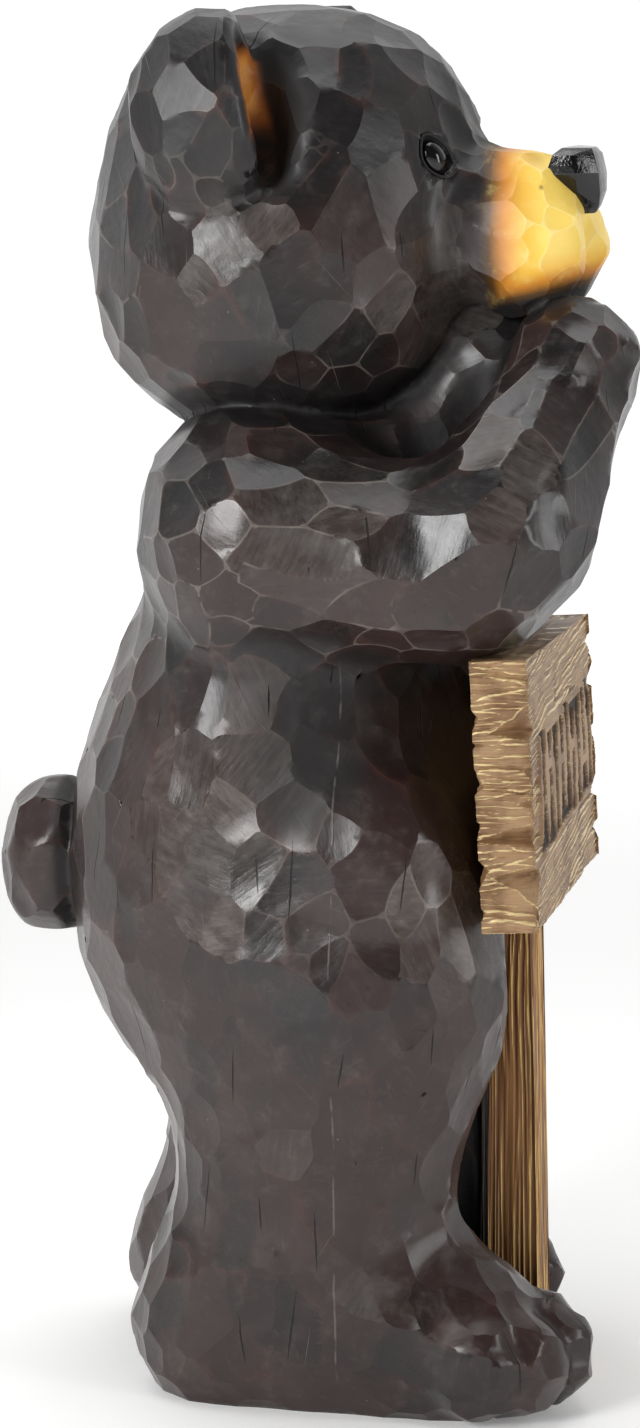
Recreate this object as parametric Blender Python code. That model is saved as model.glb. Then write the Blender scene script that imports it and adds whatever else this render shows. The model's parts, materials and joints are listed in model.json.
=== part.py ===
"""A black bear that leans its elbows on a rustic sign: the construction model.

Lengths are in metres and +Z is up.  The bear looks along -Y, its own right side is at -X, and the
origin is on the ground in the middle of the whole piece's box.  Three solids stand together: the
cast bear, the hewn board under its elbows, and the post that carries the board.

The bear is modelled in two steps, the way it looks carved: round masses melted into one form, and
then a skin of shallow gouge cuts, each nearly flat, that meet in crisp ridges.
"""
from dataclasses import dataclass
from math import radians

import bmesh
import bpy
import numpy as np
from mathutils import Euler, Vector
from mathutils.kdtree import KDTree

# ---- driving dimensions -------------------------------------------------------------------------
SEAT_GAP = 0.0003            # clearance left between two solids that touch

HEAD_CENTRE = (0.0, 0.0205, 0.6755)
HEAD_YAW = -8.5              # degrees, turned to the bear's right
HEAD_ROLL = -5.0             # degrees, tipped to the bear's right
SKULL_RADII = (0.113, 0.1125, 0.111)
JOWL_RADII = (0.112, 0.102, 0.084)
MUZZLE_RADII = (0.046, 0.064, 0.042)
EAR_RADII = (0.038, 0.0475, 0.0575)
EAR_CENTRE = (-0.099, 0.0035, 0.0645)
EAR_MOUTH = ((-0.127, -0.0262, 0.0765), (-0.20, 1, -0.20))  # point and direction of its flat front cut
CUP_RADII = (0.0195, 0.0175, 0.041)  # the hollow of the ear, which also bites into the skull
CUP_CENTRE = (-0.099, -0.0205, 0.064)
NOSE_HALF = (0.019, 0.014, 0.016)
EYE_RADII = (0.0095, 0.0105, 0.0125)
EYE_CENTRE = (-0.0445, -0.1035, 0.0385)
SOCKET_RADII = (0.0155, 0.0165, 0.0205)
SOCKET_CENTRE = (-0.0455, -0.120, 0.0385)

BELLY_RADII = (0.132, 0.129, 0.155)
CHEST_RADII = (0.116, 0.088, 0.108)
LEG_STAGGER = 0.019          # the right leg stands this far forward, the left one this far back
ARM_STAGGER = 0.014
LEG_RADII = (0.087, 0.0815)  # hip, ankle
FOOT_RADII = (0.062, 0.055)  # heel, ball of the foot
TOE_HEIGHT = 0.0335          # of the middle of each toe
TOE_REACH = (0.031, 0.0315)  # half length and half height
TOES = ((-0.109, -0.0925, 0.025), (-0.0985, -0.1125, 0.0215), (-0.0765, -0.1245, 0.0205),
        (-0.053, -0.116, 0.020))  # x, y and half width
ARM_RADII = (0.058, 0.0545)  # shoulder, elbow
FOREARM_RADII = (0.0515, 0.034)
TAIL_RADII = (0.038, 0.033, 0.046)

BOARD_SIZE = (0.275, 0.0345, 0.150)
BOARD_CENTRE = (0.0, -0.1298, 0.362)
BOARD_LEAN = 3.1             # degrees, the top edge nearer the bear
POST_WIDTH = 0.045
POST_BACK = -0.1005          # y of the post's back face
POST_FRONT_TOP = -0.128
POST_FRONT_FOOT = -0.1375
POST_TOP = 0.400             # the post is let into the back of the board up to here
POST_FLARE = 0.006           # extra width at the foot

CELL = 0.006                 # size of the sculpting grid
GRID_LOW = (-0.180, -0.210, -0.048)
GRID_HIGH = (0.180, 0.222, 0.834)
BEAR_FACES = 8600            # triangles kept on the bear

CUT_ALLOWANCE = 0.0012       # the form is this much smaller than the ridges between the cuts
GOUGE_SPACING = 0.0215       # distance between gouge cuts on the body
FINE_GOUGE_SPACING = 0.016   # on the face, ears, paws and feet
GOUGE_HEIGHT_SHARE = 0.78    # below 1 the cuts are taller than they are wide
GOUGE_BENDS = (4.0, 34.0)    # least and most curvature of the form that a cut answers to, 1/m
GOUGE_DEPTH_BEND = 25.0      # how fast a cut gives way along the form's normal, 1/m
GOUGE_HOLLOWS = (0.30, 0.25)  # mean and spread of the log of how much more a cut bends
GOUGE_HOLLOW_RANGE = (0.75, 2.0)
GOUGE_TILT = 0.045           # spread of the cuts' lean away from the form
GOUGE_RISE_LIMIT = 0.0035
GOUGE_NEIGHBOURS = 8         # cuts that are compared at each point
RIDGE_REACH = 0.42           # a point this share of a cell from a ridge moves onto it
GOUGE_SEED = 7

STAND_OFFSET = (0.0002, -0.0007, 0.0)  # puts the middle of the whole piece's box on the origin

RIGHT, LEFT = -1, 1


# ---- masses -------------------------------------------------------------------------------------
def ball(points, centre, radii, power=2.0):
    """Distance to a ball that is round in plan and squared by power up its height."""
    scaled = (points - np.float32(centre)) / np.float32(radii)
    plan = np.hypot(scaled[..., 0], scaled[..., 1]) + 1e-7
    rise = np.abs(scaled[..., 2])
    size = (plan**power + rise**power) ** (1 / power) + 1e-6
    plan_slope = (plan / size) ** (power - 1)
    slope = np.sqrt(
        (plan_slope * scaled[..., 0] / plan / radii[0]) ** 2
        + (plan_slope * scaled[..., 1] / plan / radii[1]) ** 2
        + ((rise / size) ** (power - 1) / radii[2]) ** 2
    )
    return (size - 1) / (slope + 1e-6)


def limb(points, start, end, radii, squeeze=1.0):
    """Distance to a rod with round ends that tapers; squeeze above 1 narrows it across x."""
    scale = np.float32((squeeze, 1, 1))
    start, end = np.float32(start) * scale, np.float32(end) * scale
    along = end - start
    offset = points * scale - start
    share = np.clip(offset @ along / (along @ along), 0, 1)
    gap = offset - share[..., None] * along
    return np.sqrt((gap * gap).sum(-1)) - (radii[0] + (radii[1] - radii[0]) * share)


def slab(points, centre, half, rounding):
    """Distance to a box with rounded edges."""
    beyond = np.abs(points - np.float32(centre)) - (np.float32(half) - rounding)
    outside = np.sqrt((np.maximum(beyond, 0) ** 2).sum(-1))
    return outside + np.minimum(beyond.max(-1), 0) - rounding


def half_space(points, through, facing):
    """Distance from a plane, positive on the side that it faces."""
    normal = Vector(facing).normalized()
    return (points - np.float32(through)) @ np.float32(normal)


def melt(first, second, blend):
    """Union of two masses with a fillet of about the size blend."""
    overlap = np.maximum(blend - np.abs(first - second), 0) / blend
    return np.minimum(first, second) - overlap * overlap * blend * 0.25


def carve(mass, cutter, blend):
    """The mass with the cutter taken out of it."""
    return -melt(-mass, cutter, blend)


def mirrored(points):
    """Points folded onto the right side, for what is alike on both sides."""
    folded = points.copy()
    folded[..., 0] = -np.abs(folded[..., 0])
    return folded


def on_side(points, side, forward):
    """Points as the right limb would see them, with the limb moved forward."""
    moved = points.copy()
    moved[..., 0] *= -side
    moved[..., 1] += forward
    return moved


# ---- the bear's form ----------------------------------------------------------------------------
def head_form(points):
    """Skull, jowls, muzzle, cupped ears, nose and eyes."""
    turn = Euler((0, radians(HEAD_ROLL), radians(HEAD_YAW)), "XYZ").to_matrix()
    local = (points - np.float32(HEAD_CENTRE)) @ np.float32(turn)
    pair = mirrored(local)
    cup = ball(pair, CUP_CENTRE, CUP_RADII, 2.2)
    form = ball(local, (0, -0.0075, 0.012), SKULL_RADII, 2.3)
    form = melt(form, ball(local, (0, 0.001, -0.036), JOWL_RADII, 2.4), 0.040)
    muzzle = ball(local, (0, -0.110, -0.003), MUZZLE_RADII, 2.4)
    muzzle = melt(muzzle, ball(pair, (-0.020, -0.150, -0.015), (0.029, 0.036, 0.037)), 0.010)
    muzzle = melt(muzzle, ball(local, (0, -0.132, 0.011), (0.032, 0.046, 0.025), 2.3), 0.015)
    form = melt(form, muzzle, 0.016)
    form = melt(carve(form, cup, 0.020), carve(ear_form(pair), cup, 0.004), 0.005)
    form = melt(form, slab(local, (0, -0.170, 0.024), NOSE_HALF, 0.005), 0.003)
    form = carve(form, ball(pair, SOCKET_CENTRE, SOCKET_RADII), 0.008)
    return melt(form, ball(pair, EYE_CENTRE, EYE_RADII), 0.002)


def ear_form(pair):
    """One ear of the folded pair, cut off flat where it opens forward."""
    return carve(ball(pair, EAR_CENTRE, EAR_RADII), half_space(pair, *EAR_MOUTH), 0.005)


def torso_form(points):
    """Pear-shaped body with a yoke across the shoulders."""
    form = ball(points, (0, 0.0185, 0.303), BELLY_RADII, 2.3)
    form = melt(form, ball(points, (0, 0.008, 0.465), CHEST_RADII, 3.0), 0.060)
    return melt(form, limb(points, (-0.07, 0.027, 0.508), (0.07, 0.027, 0.508), (0.060, 0.060)), 0.03)


def leg_form(points, side):
    """Thick leg with a raised thigh, a long foot and four toes."""
    local = on_side(points, side, -LEG_STAGGER * side)
    leg = limb(local, (-0.064, 0.004, 0.230), (-0.068, 0.009, 0.100), LEG_RADII, 1.25)
    leg = melt(leg, ball(local, (-0.082, -0.036, 0.250), (0.056, 0.066, 0.098)), 0.040)
    leg = melt(leg, ball(local, (-0.102, -0.038, 0.322), (0.036, 0.040, 0.044)), 0.020)
    foot = limb(local, (-0.068, 0.053, 0.040), (-0.076, -0.064, 0.037), FOOT_RADII, 1.2)
    foot = melt(foot, ball(local, (-0.081, -0.076, 0.046), (0.040, 0.051, 0.042)), 0.020)
    toes = 1.0
    for x, y, half_width in TOES:
        toes = melt(toes, ball(local, (x, y, TOE_HEIGHT), (half_width, *TOE_REACH)), 0.003)
    return melt(leg, melt(foot, toes, 0.006), 0.036)


def arm_form(points, side):
    """Upper arm out to the elbow on the board, forearm up to the paw under the chin."""
    local = on_side(points, side, -(0.004 + ARM_STAGGER * side))
    arm = limb(local, (-0.096, 0.026, 0.495), (-0.100, -0.088, 0.4855), ARM_RADII)
    arm = melt(arm, limb(local, (-0.100, -0.1145, 0.5105), (-0.054, -0.143, 0.588), FOREARM_RADII), 0.02)
    return melt(arm, ball(local, (-0.050, -0.145, 0.598), (0.033, 0.033, 0.034)), 0.015)


def web_form(points):
    """Chest that closes the space under the chin, and the rib that backs the sign."""
    chest = limb(points, (0, -0.030, 0.500), (0, -0.100, 0.592), (0.055, 0.044))
    rib = slab(points, (0, -0.060, 0.206), (0.013, 0.0420, 0.194), 0.004)
    return melt(chest, rib, 0.010)


def bear_form(points):
    """Distance to the whole bear before it is gouged."""
    form = torso_form(points)
    form = melt(form, melt(leg_form(points, RIGHT), leg_form(points, LEFT), 0.010), 0.040)
    form = melt(form, web_form(points), 0.020)
    form = melt(form, melt(arm_form(points, RIGHT), arm_form(points, LEFT), 0.010), 0.022)
    form = melt(form, head_form(points), 0.008)
    return melt(form, ball(points, (0, 0.159, 0.299), TAIL_RADII, 2.3), 0.004) + CUT_ALLOWANCE


def slope_of(form, points, step=0.0008):
    """Gradient of a form at the points."""
    columns = []
    for axis in range(3):
        nudge = np.zeros(3, np.float32)
        nudge[axis] = step
        columns.append((form(points + nudge) - form(points - nudge)) / (2 * step))
    return np.stack(columns, -1)


def unit(vectors):
    """The vectors at length one."""
    return vectors / (np.linalg.norm(vectors, axis=-1, keepdims=True) + 1e-9)


# ---- a net of faces over a form -----------------------------------------------------------------
def fill_pinches(values):
    """Fills the grid squares that are inside at two opposite corners only, where a net would pinch."""
    for _ in range(6):
        pinched = 0
        for across, up in ((0, 1), (1, 2), (2, 0)):
            corners = []
            for from_across, from_up in ((0, 0), (1, 0), (1, 1), (0, 1)):
                window = [slice(None)] * 3
                window[across] = slice(from_across, values.shape[across] - 1 + from_across)
                window[up] = slice(from_up, values.shape[up] - 1 + from_up)
                corners.append(values[tuple(window)])
            inside = [corner < 0 for corner in corners]
            pinch = (inside[0] == inside[2]) & (inside[1] == inside[3]) & (inside[0] != inside[1])
            for corner in corners:
                corner[pinch & (corner >= 0)] = -1e-4
            pinched += pinch.sum()
        if not pinched:
            break
    return values


def net_over(form, low, high, cell):
    """Closed net of four-sided faces over a form: points and faces."""
    counts = np.ceil((np.float32(high) - np.float32(low)) / cell).astype(int) + 1
    axes = [low[k] + cell * np.arange(counts[k], dtype=np.float32) for k in range(3)]
    values = np.stack([form(np.stack(np.meshgrid(x, axes[1], axes[2], indexing="ij"), -1))[0]
                       for x in axes[0][:, None]])
    values = fill_pinches(values)
    total = np.zeros((*counts, 3), np.float32)
    hits = np.zeros(counts, np.float32)
    rings = []
    for axis in range(3):
        before = np.take(values, range(counts[axis] - 1), axis)
        after = np.take(values, range(1, counts[axis]), axis)
        found = np.argwhere((before < 0) != (after < 0))
        start, end = before[tuple(found.T)], after[tuple(found.T)]
        crossing = found.astype(np.float32)
        crossing[:, axis] += start / (start - end)
        across, up = (axis + 1) % 3, (axis + 2) % 3
        ring = []
        for step_across, step_up in ((0, 0), (1, 0), (1, 1), (0, 1)):
            owner = found.copy()
            owner[:, across] -= step_across
            owner[:, up] -= step_up
            np.add.at(total, tuple(owner.T), crossing)
            np.add.at(hits, tuple(owner.T), 1)
            ring.append(owner)
        ring = np.stack(ring, 1)
        ring[start > 0] = ring[start > 0][:, ::-1]
        rings.append(ring)
    used = hits > 0
    numbers = np.full(counts, -1)
    numbers[used] = np.arange(used.sum())
    rings = np.concatenate(rings)
    faces = numbers[rings[..., 0], rings[..., 1], rings[..., 2]][:, ::-1]
    points = total[used] / hits[used][:, None] * cell + np.float32(low)
    for _ in range(3):
        slope = slope_of(form, points)
        points -= form(points)[:, None] * slope / ((slope * slope).sum(-1, keepdims=True) + 1e-9)
    return points, faces


# ---- gouge cuts ---------------------------------------------------------------------------------
@dataclass
class Gouges:
    """Where the gouge cuts are centred, and how each bends and leans away from the form."""

    centres: np.ndarray
    bends: np.ndarray
    tilts: np.ndarray
    tree: KDTree


def gouge_spacing(points):
    """Distance between cuts: small on the head's features, the paws and the feet."""
    face = ball(points, (-0.02, -0.130, 0.670), (0.075, 0.075, 0.075))
    paws = ball(points, (0, -0.150, 0.600), (0.10, 0.05, 0.055))
    feet = 0.075 - points[..., 2] + np.maximum(points[..., 1] + 0.03, 0) * 0.8
    ears = np.minimum(
        ball(points, (-0.095, 0.045, 0.735), (0.050, 0.045, 0.055)),
        ball(points, (0.085, 0.020, 0.750), (0.050, 0.045, 0.055)),
    )
    away = np.minimum(np.minimum(face, paws), np.minimum(-feet, ears))
    share = np.clip(away / 0.03, 0, 1)
    return FINE_GOUGE_SPACING + (GOUGE_SPACING - FINE_GOUGE_SPACING) * share


def scatter_gouges(form, points):
    """Gouge cuts spread over the form's points, taller than they are wide."""
    dice = np.random.default_rng(GOUGE_SEED)
    order = dice.permutation(len(points))
    order = order[points[order, 2] > -0.004]
    stretched = points * np.float32((1, 1, GOUGE_HEIGHT_SHARE))
    spacing = gouge_spacing(points) * dice.uniform(0.85, 1.2, len(points))
    chosen = np.empty((0, 3), np.float32)
    picked = []
    for index in order:
        gaps = np.linalg.norm(chosen - stretched[index], axis=1)
        if not len(gaps) or gaps.min() > spacing[index]:
            picked.append(index)
            chosen = np.vstack([chosen, stretched[index]])
    centres = points[picked]
    hollows = np.clip(dice.lognormal(*GOUGE_HOLLOWS, len(picked)), *GOUGE_HOLLOW_RANGE)
    tilts = GOUGE_TILT * dice.normal(0, 1, (len(picked), 3))
    normals = unit(slope_of(form, centres))
    reach = 0.005
    hessian = np.stack([(unit(slope_of(form, centres + reach * axis, 0.002))
                         - unit(slope_of(form, centres - reach * axis, 0.002))) / (2 * reach)
                        for axis in np.eye(3, dtype=np.float32)], -1)
    hessian = (hessian + np.swapaxes(hessian, 1, 2)) / 2
    flat = np.eye(3) - normals[:, :, None] * normals[:, None, :]
    hessian = flat @ hessian @ flat
    curvature, frames = np.linalg.eigh(hessian)
    curvature = np.clip(curvature, *GOUGE_BENDS)
    bends = (frames * curvature[:, None, :]) @ np.swapaxes(frames, 1, 2) * 0.5
    bends = flat @ bends @ flat + GOUGE_DEPTH_BEND * normals[:, :, None] * normals[:, None, :]
    bends *= hollows[:, None, None]
    tree = KDTree(len(centres))
    for number, centre in enumerate(centres):
        tree.insert(centre, number)
    tree.balance()
    return Gouges(centres, bends, tilts, tree)


def rise_over(gouges, points, cuts):
    """How far each cut lets the surface rise at the points, and the slope of that rise."""
    offset = points[:, None, :] - gouges.centres[cuts]
    slope = np.einsum("vkij,vkj->vki", gouges.bends[cuts], offset)
    tilt = gouges.tilts[cuts]
    return np.einsum("vki,vki->vk", slope + tilt, offset), 2 * slope + tilt


def gouged(form, gouges, points, cell):
    """The points raised onto the gouge cuts, with those near a ridge moved onto it."""
    cuts = np.array([[found[1] for found in gouges.tree.find_n(point, GOUGE_NEIGHBOURS)]
                     for point in points])
    normals = unit(slope_of(form, points))
    for _ in range(2):
        rise, slope = rise_over(gouges, points, cuts)
        rank = np.argsort(rise, 1)[:, :2]
        rows = np.arange(len(points))
        gap = rise[rows, rank[:, 1]] - rise[rows, rank[:, 0]]
        across = slope[rows, rank[:, 1]] - slope[rows, rank[:, 0]]
        across -= (across * normals).sum(-1, keepdims=True) * normals
        steep = np.linalg.norm(across, axis=-1) + 1e-6
        near = gap / steep < cell * RIDGE_REACH
        points = points - np.where(near, gap / steep**2, 0)[:, None] * across
    rise = rise_over(gouges, points, cuts)[0].min(1)
    return points + normals * np.minimum(rise, GOUGE_RISE_LIMIT)[:, None]


# ---- solids -------------------------------------------------------------------------------------
def finish(name, colour, roughness, metallic=0.0):
    """A plain material of the part's colour."""
    material = bpy.data.materials.new(name)
    material.use_nodes = True
    shader = material.node_tree.nodes["Principled BSDF"]
    shader.inputs["Base Color"].default_value = (*colour, 1)
    shader.inputs["Roughness"].default_value = roughness
    shader.inputs["Metallic"].default_value = metallic
    return material


def add_object(name, mesh=None, material=None, parent=None):
    """A scene object that holds the mesh, or an empty."""
    thing = bpy.data.objects.new(name, mesh)
    bpy.context.scene.collection.objects.link(thing)
    thing.parent = parent
    if material:
        mesh.materials.append(material)
    return thing


def evaluated_copy(thing):
    """The object's mesh with its modifiers applied."""
    graph = bpy.context.evaluated_depsgraph_get()
    return bpy.data.meshes.new_from_object(thing.evaluated_get(graph))


def add_modifier(thing, kind, **settings):
    """A modifier with its settings."""
    modifier = thing.modifiers.new(kind.title(), kind)
    for key, value in settings.items():
        setattr(modifier, key, value)
    return modifier


def cut_at_ground(mesh):
    """The mesh cut flat at z = 0, with soles closed."""
    shell = bmesh.new()
    shell.from_mesh(mesh)
    everything = shell.verts[:] + shell.edges[:] + shell.faces[:]
    bmesh.ops.bisect_plane(shell, geom=everything, dist=1e-6, plane_co=(0, 0, 0),
                           plane_no=(0, 0, -1), clear_outer=True)
    rim = [edge for edge in shell.edges if edge.is_boundary]
    for edge in rim:
        for vertex in edge.verts:
            vertex.co.z = 0
    bmesh.ops.holes_fill(shell, edges=rim)
    bmesh.ops.triangulate(shell, faces=shell.faces[:])
    bmesh.ops.dissolve_degenerate(shell, dist=1e-5, edges=shell.edges[:])
    bmesh.ops.recalc_face_normals(shell, faces=shell.faces[:])
    shell.to_mesh(mesh)
    shell.free()
    return mesh


def make_bear(stand, cutters):
    """The bear: gouged form, thinned to plain facets, cut at the ground and by the sign."""
    points, faces = net_over(bear_form, GRID_LOW, GRID_HIGH, CELL)
    points = gouged(bear_form, scatter_gouges(bear_form, points), points, CELL)
    mesh = bpy.data.meshes.new("bear_form")
    mesh.from_pydata(points.tolist(), [], faces.tolist())
    draft = add_object("bear_draft", mesh)
    add_modifier(draft, "DECIMATE", ratio=BEAR_FACES / (2 * len(faces)))
    mesh = cut_at_ground(evaluated_copy(draft))
    bpy.data.objects.remove(draft)
    bear = add_object("bear", mesh, finish("bear_paint", (0.050, 0.040, 0.038), 0.38), stand)
    for cutter in cutters:
        add_modifier(bear, "BOOLEAN", object=cutter, operation="DIFFERENCE", solver="EXACT")


def prism(name, corners, height_low, height_high):
    """A mesh whose plan at each end is given corner by corner."""
    count = len(corners[0])
    rings = [(*point, height) for ring, height in zip(corners, (height_low, height_high)) for point in ring]
    sides = [(k, (k + 1) % count, count + (k + 1) % count, count + k) for k in range(count)]
    mesh = bpy.data.meshes.new(name)
    mesh.from_pydata(rings, [], [tuple(range(count))[::-1], tuple(range(count, 2 * count)), *sides])
    return mesh


def post_mesh(name, grow):
    """The post from the ground to its top, grown on every side for use as a cutter."""
    def ring(front, half):
        back = POST_BACK + grow
        front -= grow
        half += grow
        return [(-half, front), (half, front), (half, back), (-half, back)]

    half = POST_WIDTH / 2
    return prism(name, (ring(POST_FRONT_FOOT, half + POST_FLARE / 2), ring(POST_FRONT_TOP, half)),
                 -grow, POST_TOP + grow)


def board_mesh(name, grow):
    """The board about its own centre, grown on every side for use as a cutter."""
    half_x, half_y, half_z = (side / 2 + grow for side in BOARD_SIZE)
    ring = [(-half_x, -half_y), (half_x, -half_y), (half_x, half_y), (-half_x, half_y)]
    return prism(name, (ring, ring), -half_z, half_z)


def place_board(thing):
    """Puts a board, or the cutter of its shape, under the elbows."""
    thing.location = BOARD_CENTRE
    thing.rotation_euler = (radians(-BOARD_LEAN), 0, 0)


def as_cutter(thing):
    """Marks a solid that only cuts others."""
    thing.hide_render = True
    thing.display_type = "WIRE"
    return thing


def main():
    """Builds the three solids."""
    for thing in list(bpy.data.objects):
        bpy.data.objects.remove(thing)
    stand = add_object("stand")
    stand.location = STAND_OFFSET
    board_seat = as_cutter(add_object("board_seat", board_mesh("board_seat", SEAT_GAP), parent=stand))
    place_board(board_seat)
    post_seat = as_cutter(add_object("post_seat", post_mesh("post_seat", SEAT_GAP), parent=stand))

    board_paint = finish("board_paint", (0.32, 0.19, 0.09), 0.5, 0.2)
    board = add_object("sign_board", board_mesh("sign_board", 0.0), board_paint, stand)
    place_board(board)
    add_modifier(board, "BOOLEAN", object=post_seat, operation="DIFFERENCE", solver="EXACT")
    post_paint = finish("post_paint", (0.16, 0.075, 0.03), 0.5, 0.2)
    add_object("sign_post", post_mesh("sign_post", 0.0), post_paint, stand)
    make_bear(stand, (board_seat, post_seat))


main()
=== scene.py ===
"""The looks of a carved black bear that leans its elbows on a rustic sign.

Lengths are in metres and +Z is up.  The bear looks along -Y and its own right side is at -X.  It is
sculpted as round masses melted into one form, and its skin is then cut into shallow gouge marks that
meet in crisp ridges.  The sign's board and post are hewn along their grain.  A studio with a pale
floor surrounds them.
"""
import json
import logging
from collections.abc import Callable
from dataclasses import dataclass, field
from enum import Enum
from functools import partial
from math import cos, pi, radians, sin

import bmesh
import bpy
import numpy as np
from mathutils import Euler, Matrix, Vector, noise
from mathutils.bvhtree import BVHTree
from mathutils.kdtree import KDTree

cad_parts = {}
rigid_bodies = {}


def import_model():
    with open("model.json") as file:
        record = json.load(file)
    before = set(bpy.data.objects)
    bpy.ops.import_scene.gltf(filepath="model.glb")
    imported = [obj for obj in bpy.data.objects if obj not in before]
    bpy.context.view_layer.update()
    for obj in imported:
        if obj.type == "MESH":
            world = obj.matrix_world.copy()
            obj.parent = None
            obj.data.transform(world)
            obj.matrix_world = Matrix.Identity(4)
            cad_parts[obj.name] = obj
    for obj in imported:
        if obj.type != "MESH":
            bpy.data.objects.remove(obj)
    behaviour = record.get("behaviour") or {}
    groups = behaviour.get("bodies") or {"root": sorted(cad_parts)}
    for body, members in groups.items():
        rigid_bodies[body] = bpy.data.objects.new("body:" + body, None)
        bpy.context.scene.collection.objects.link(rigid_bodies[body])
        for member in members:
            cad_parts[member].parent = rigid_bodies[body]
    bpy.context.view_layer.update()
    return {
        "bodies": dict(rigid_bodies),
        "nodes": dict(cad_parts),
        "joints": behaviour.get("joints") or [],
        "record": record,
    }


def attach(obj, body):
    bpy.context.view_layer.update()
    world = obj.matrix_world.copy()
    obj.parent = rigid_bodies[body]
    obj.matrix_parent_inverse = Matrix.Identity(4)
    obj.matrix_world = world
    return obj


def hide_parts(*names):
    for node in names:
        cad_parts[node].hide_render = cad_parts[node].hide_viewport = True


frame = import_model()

log = logging.getLogger("bear")

Array = np.ndarray
Triple = tuple[float, float, float]
Form = Callable[[Array], Array]
Mass = tuple[Triple, Triple]                        # a ball's or a slab's middle and half sizes
Rod = tuple[Triple, Triple, tuple[float, float]]    # a limb's two ends and its radius at each
Number = "Value | float"

STAND_OFFSET: Triple = (0.0002, -0.0007, 0.0)


class Side(Enum):
    """The bear's own sides, as the sign of x."""

    RIGHT = -1
    LEFT = 1


# ---- shader sheets ------------------------------------------------------------------------------
class Value:
    """A number that changes over a surface, written with Python's operators."""

    def __init__(self, sheet: "NodeSheet", socket: bpy.types.NodeSocket) -> None:
        """Wraps a socket.

        Args:
            sheet: The node sheet that the socket belongs to.
            socket: The output that carries the number.
        """
        self.sheet = sheet
        self.socket = socket

    def _math(self, operation: str, *terms: Number) -> "Value":
        """Adds a Math node.

        Args:
            operation: The Math node's operation.
            *terms: Its inputs in order.

        Returns:
            The node's result.
        """
        return self.sheet.value("ShaderNodeMath", {"operation": operation}, dict(enumerate(terms)))

    def __add__(self, other: Number) -> "Value":
        """Sum."""
        return self._math("ADD", self, other)

    def __sub__(self, other: Number) -> "Value":
        """Difference."""
        return self._math("SUBTRACT", self, other)

    def __mul__(self, other: Number) -> "Value":
        """Product."""
        return self._math("MULTIPLY", self, other)

    def __truediv__(self, other: Number) -> "Value":
        """Quotient."""
        return self._math("DIVIDE", self, other)

    def __pow__(self, other: Number) -> "Value":
        """Power."""
        return self._math("POWER", self, other)

    def __radd__(self, other: float) -> "Value":
        """Reflected sum."""
        return self._math("ADD", other, self)

    def __rsub__(self, other: float) -> "Value":
        """Reflected difference."""
        return self._math("SUBTRACT", other, self)

    def __rmul__(self, other: float) -> "Value":
        """Reflected product."""
        return self._math("MULTIPLY", other, self)

    def __abs__(self) -> "Value":
        """Size without sign."""
        return self._math("ABSOLUTE", self)

    def over(self, limit: float) -> "Value":
        """One where the number is above the limit, else nought."""
        return self._math("GREATER_THAN", self, limit)

    def least(self, other: Number) -> "Value":
        """The smaller of two numbers."""
        return self._math("MINIMUM", self, other)

    def most(self, other: Number) -> "Value":
        """The larger of two numbers."""
        return self._math("MAXIMUM", self, other)

    def rise(self, low: float, high: float) -> "Value":
        """Goes smoothly from nought at low to one at high.

        Args:
            low: Where the result leaves nought.
            high: Where it reaches one; it may lie below low.

        Returns:
            The eased share.
        """
        flip = low > high
        ends = {"From Min": high if flip else low, "From Max": low if flip else high,
                "To Min": 1.0 if flip else 0.0, "To Max": 0.0 if flip else 1.0, "Value": self}
        return self.sheet.value("ShaderNodeMapRange", {"interpolation_type": "SMOOTHSTEP"}, ends)


Input = "Value | bpy.types.NodeSocket | float | tuple[float, ...]"


class NodeSheet:
    """A sheet of nodes: a material's or the room's."""

    def __init__(self, tree: bpy.types.NodeTree) -> None:
        """Takes up a tree of nodes."""
        self.tree = tree

    def node(self, kind: str, settings: dict | None = None, inputs: dict | None = None) -> bpy.types.Node:
        """Adds a node.

        Args:
            kind: The node's type.
            settings: Its properties, set first; a ramp's stops go under the key stops.
            inputs: Values or links for its sockets, by name, identifier or number.

        Returns:
            The node.
        """
        made = self.tree.nodes.new(kind)
        for key, value in (settings or {}).items():
            if key == "stops":
                self._set_stops(made.color_ramp, value)
            else:
                setattr(made, key, value)
        sockets = {socket.identifier: socket for socket in made.inputs}
        for key, value in (inputs or {}).items():
            socket = sockets[key] if key in sockets else made.inputs[key]
            if isinstance(value, Value):
                value = value.socket
            if isinstance(value, bpy.types.NodeSocket):
                self.tree.links.new(value, socket)
            else:
                socket.default_value = value
        return made

    @staticmethod
    def _set_stops(ramp: bpy.types.ColorRamp, stops: dict[float, Triple]) -> None:
        """Gives a colour ramp its stops.

        Args:
            ramp: The ramp.
            stops: Position to colour, in order.
        """
        while len(ramp.elements) < len(stops):
            ramp.elements.new(0.5)
        for element, (position, colour) in zip(ramp.elements, stops.items()):
            element.position = position
            element.color = (*colour, 1.0)

    def value(self, kind: str, settings: dict | None = None, inputs: dict | None = None) -> Value:
        """Adds a node whose first output is a number.

        Args:
            kind: The node's type.
            settings: Its properties.
            inputs: Values or links for its sockets.

        Returns:
            The node's first output.
        """
        return Value(self, self.node(kind, settings, inputs).outputs[0])

    def vector(self, operation: str, *terms: Input) -> bpy.types.NodeSocket:
        """Adds a Vector Math node.

        Args:
            operation: The Vector Math node's operation.
            *terms: Its inputs in order.

        Returns:
            The vector that comes out, or the number where it is a dot product.
        """
        made = self.node("ShaderNodeVectorMath", {"operation": operation}, dict(enumerate(terms)))
        return made.outputs["Value" if operation == "DOT_PRODUCT" else "Vector"]


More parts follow.
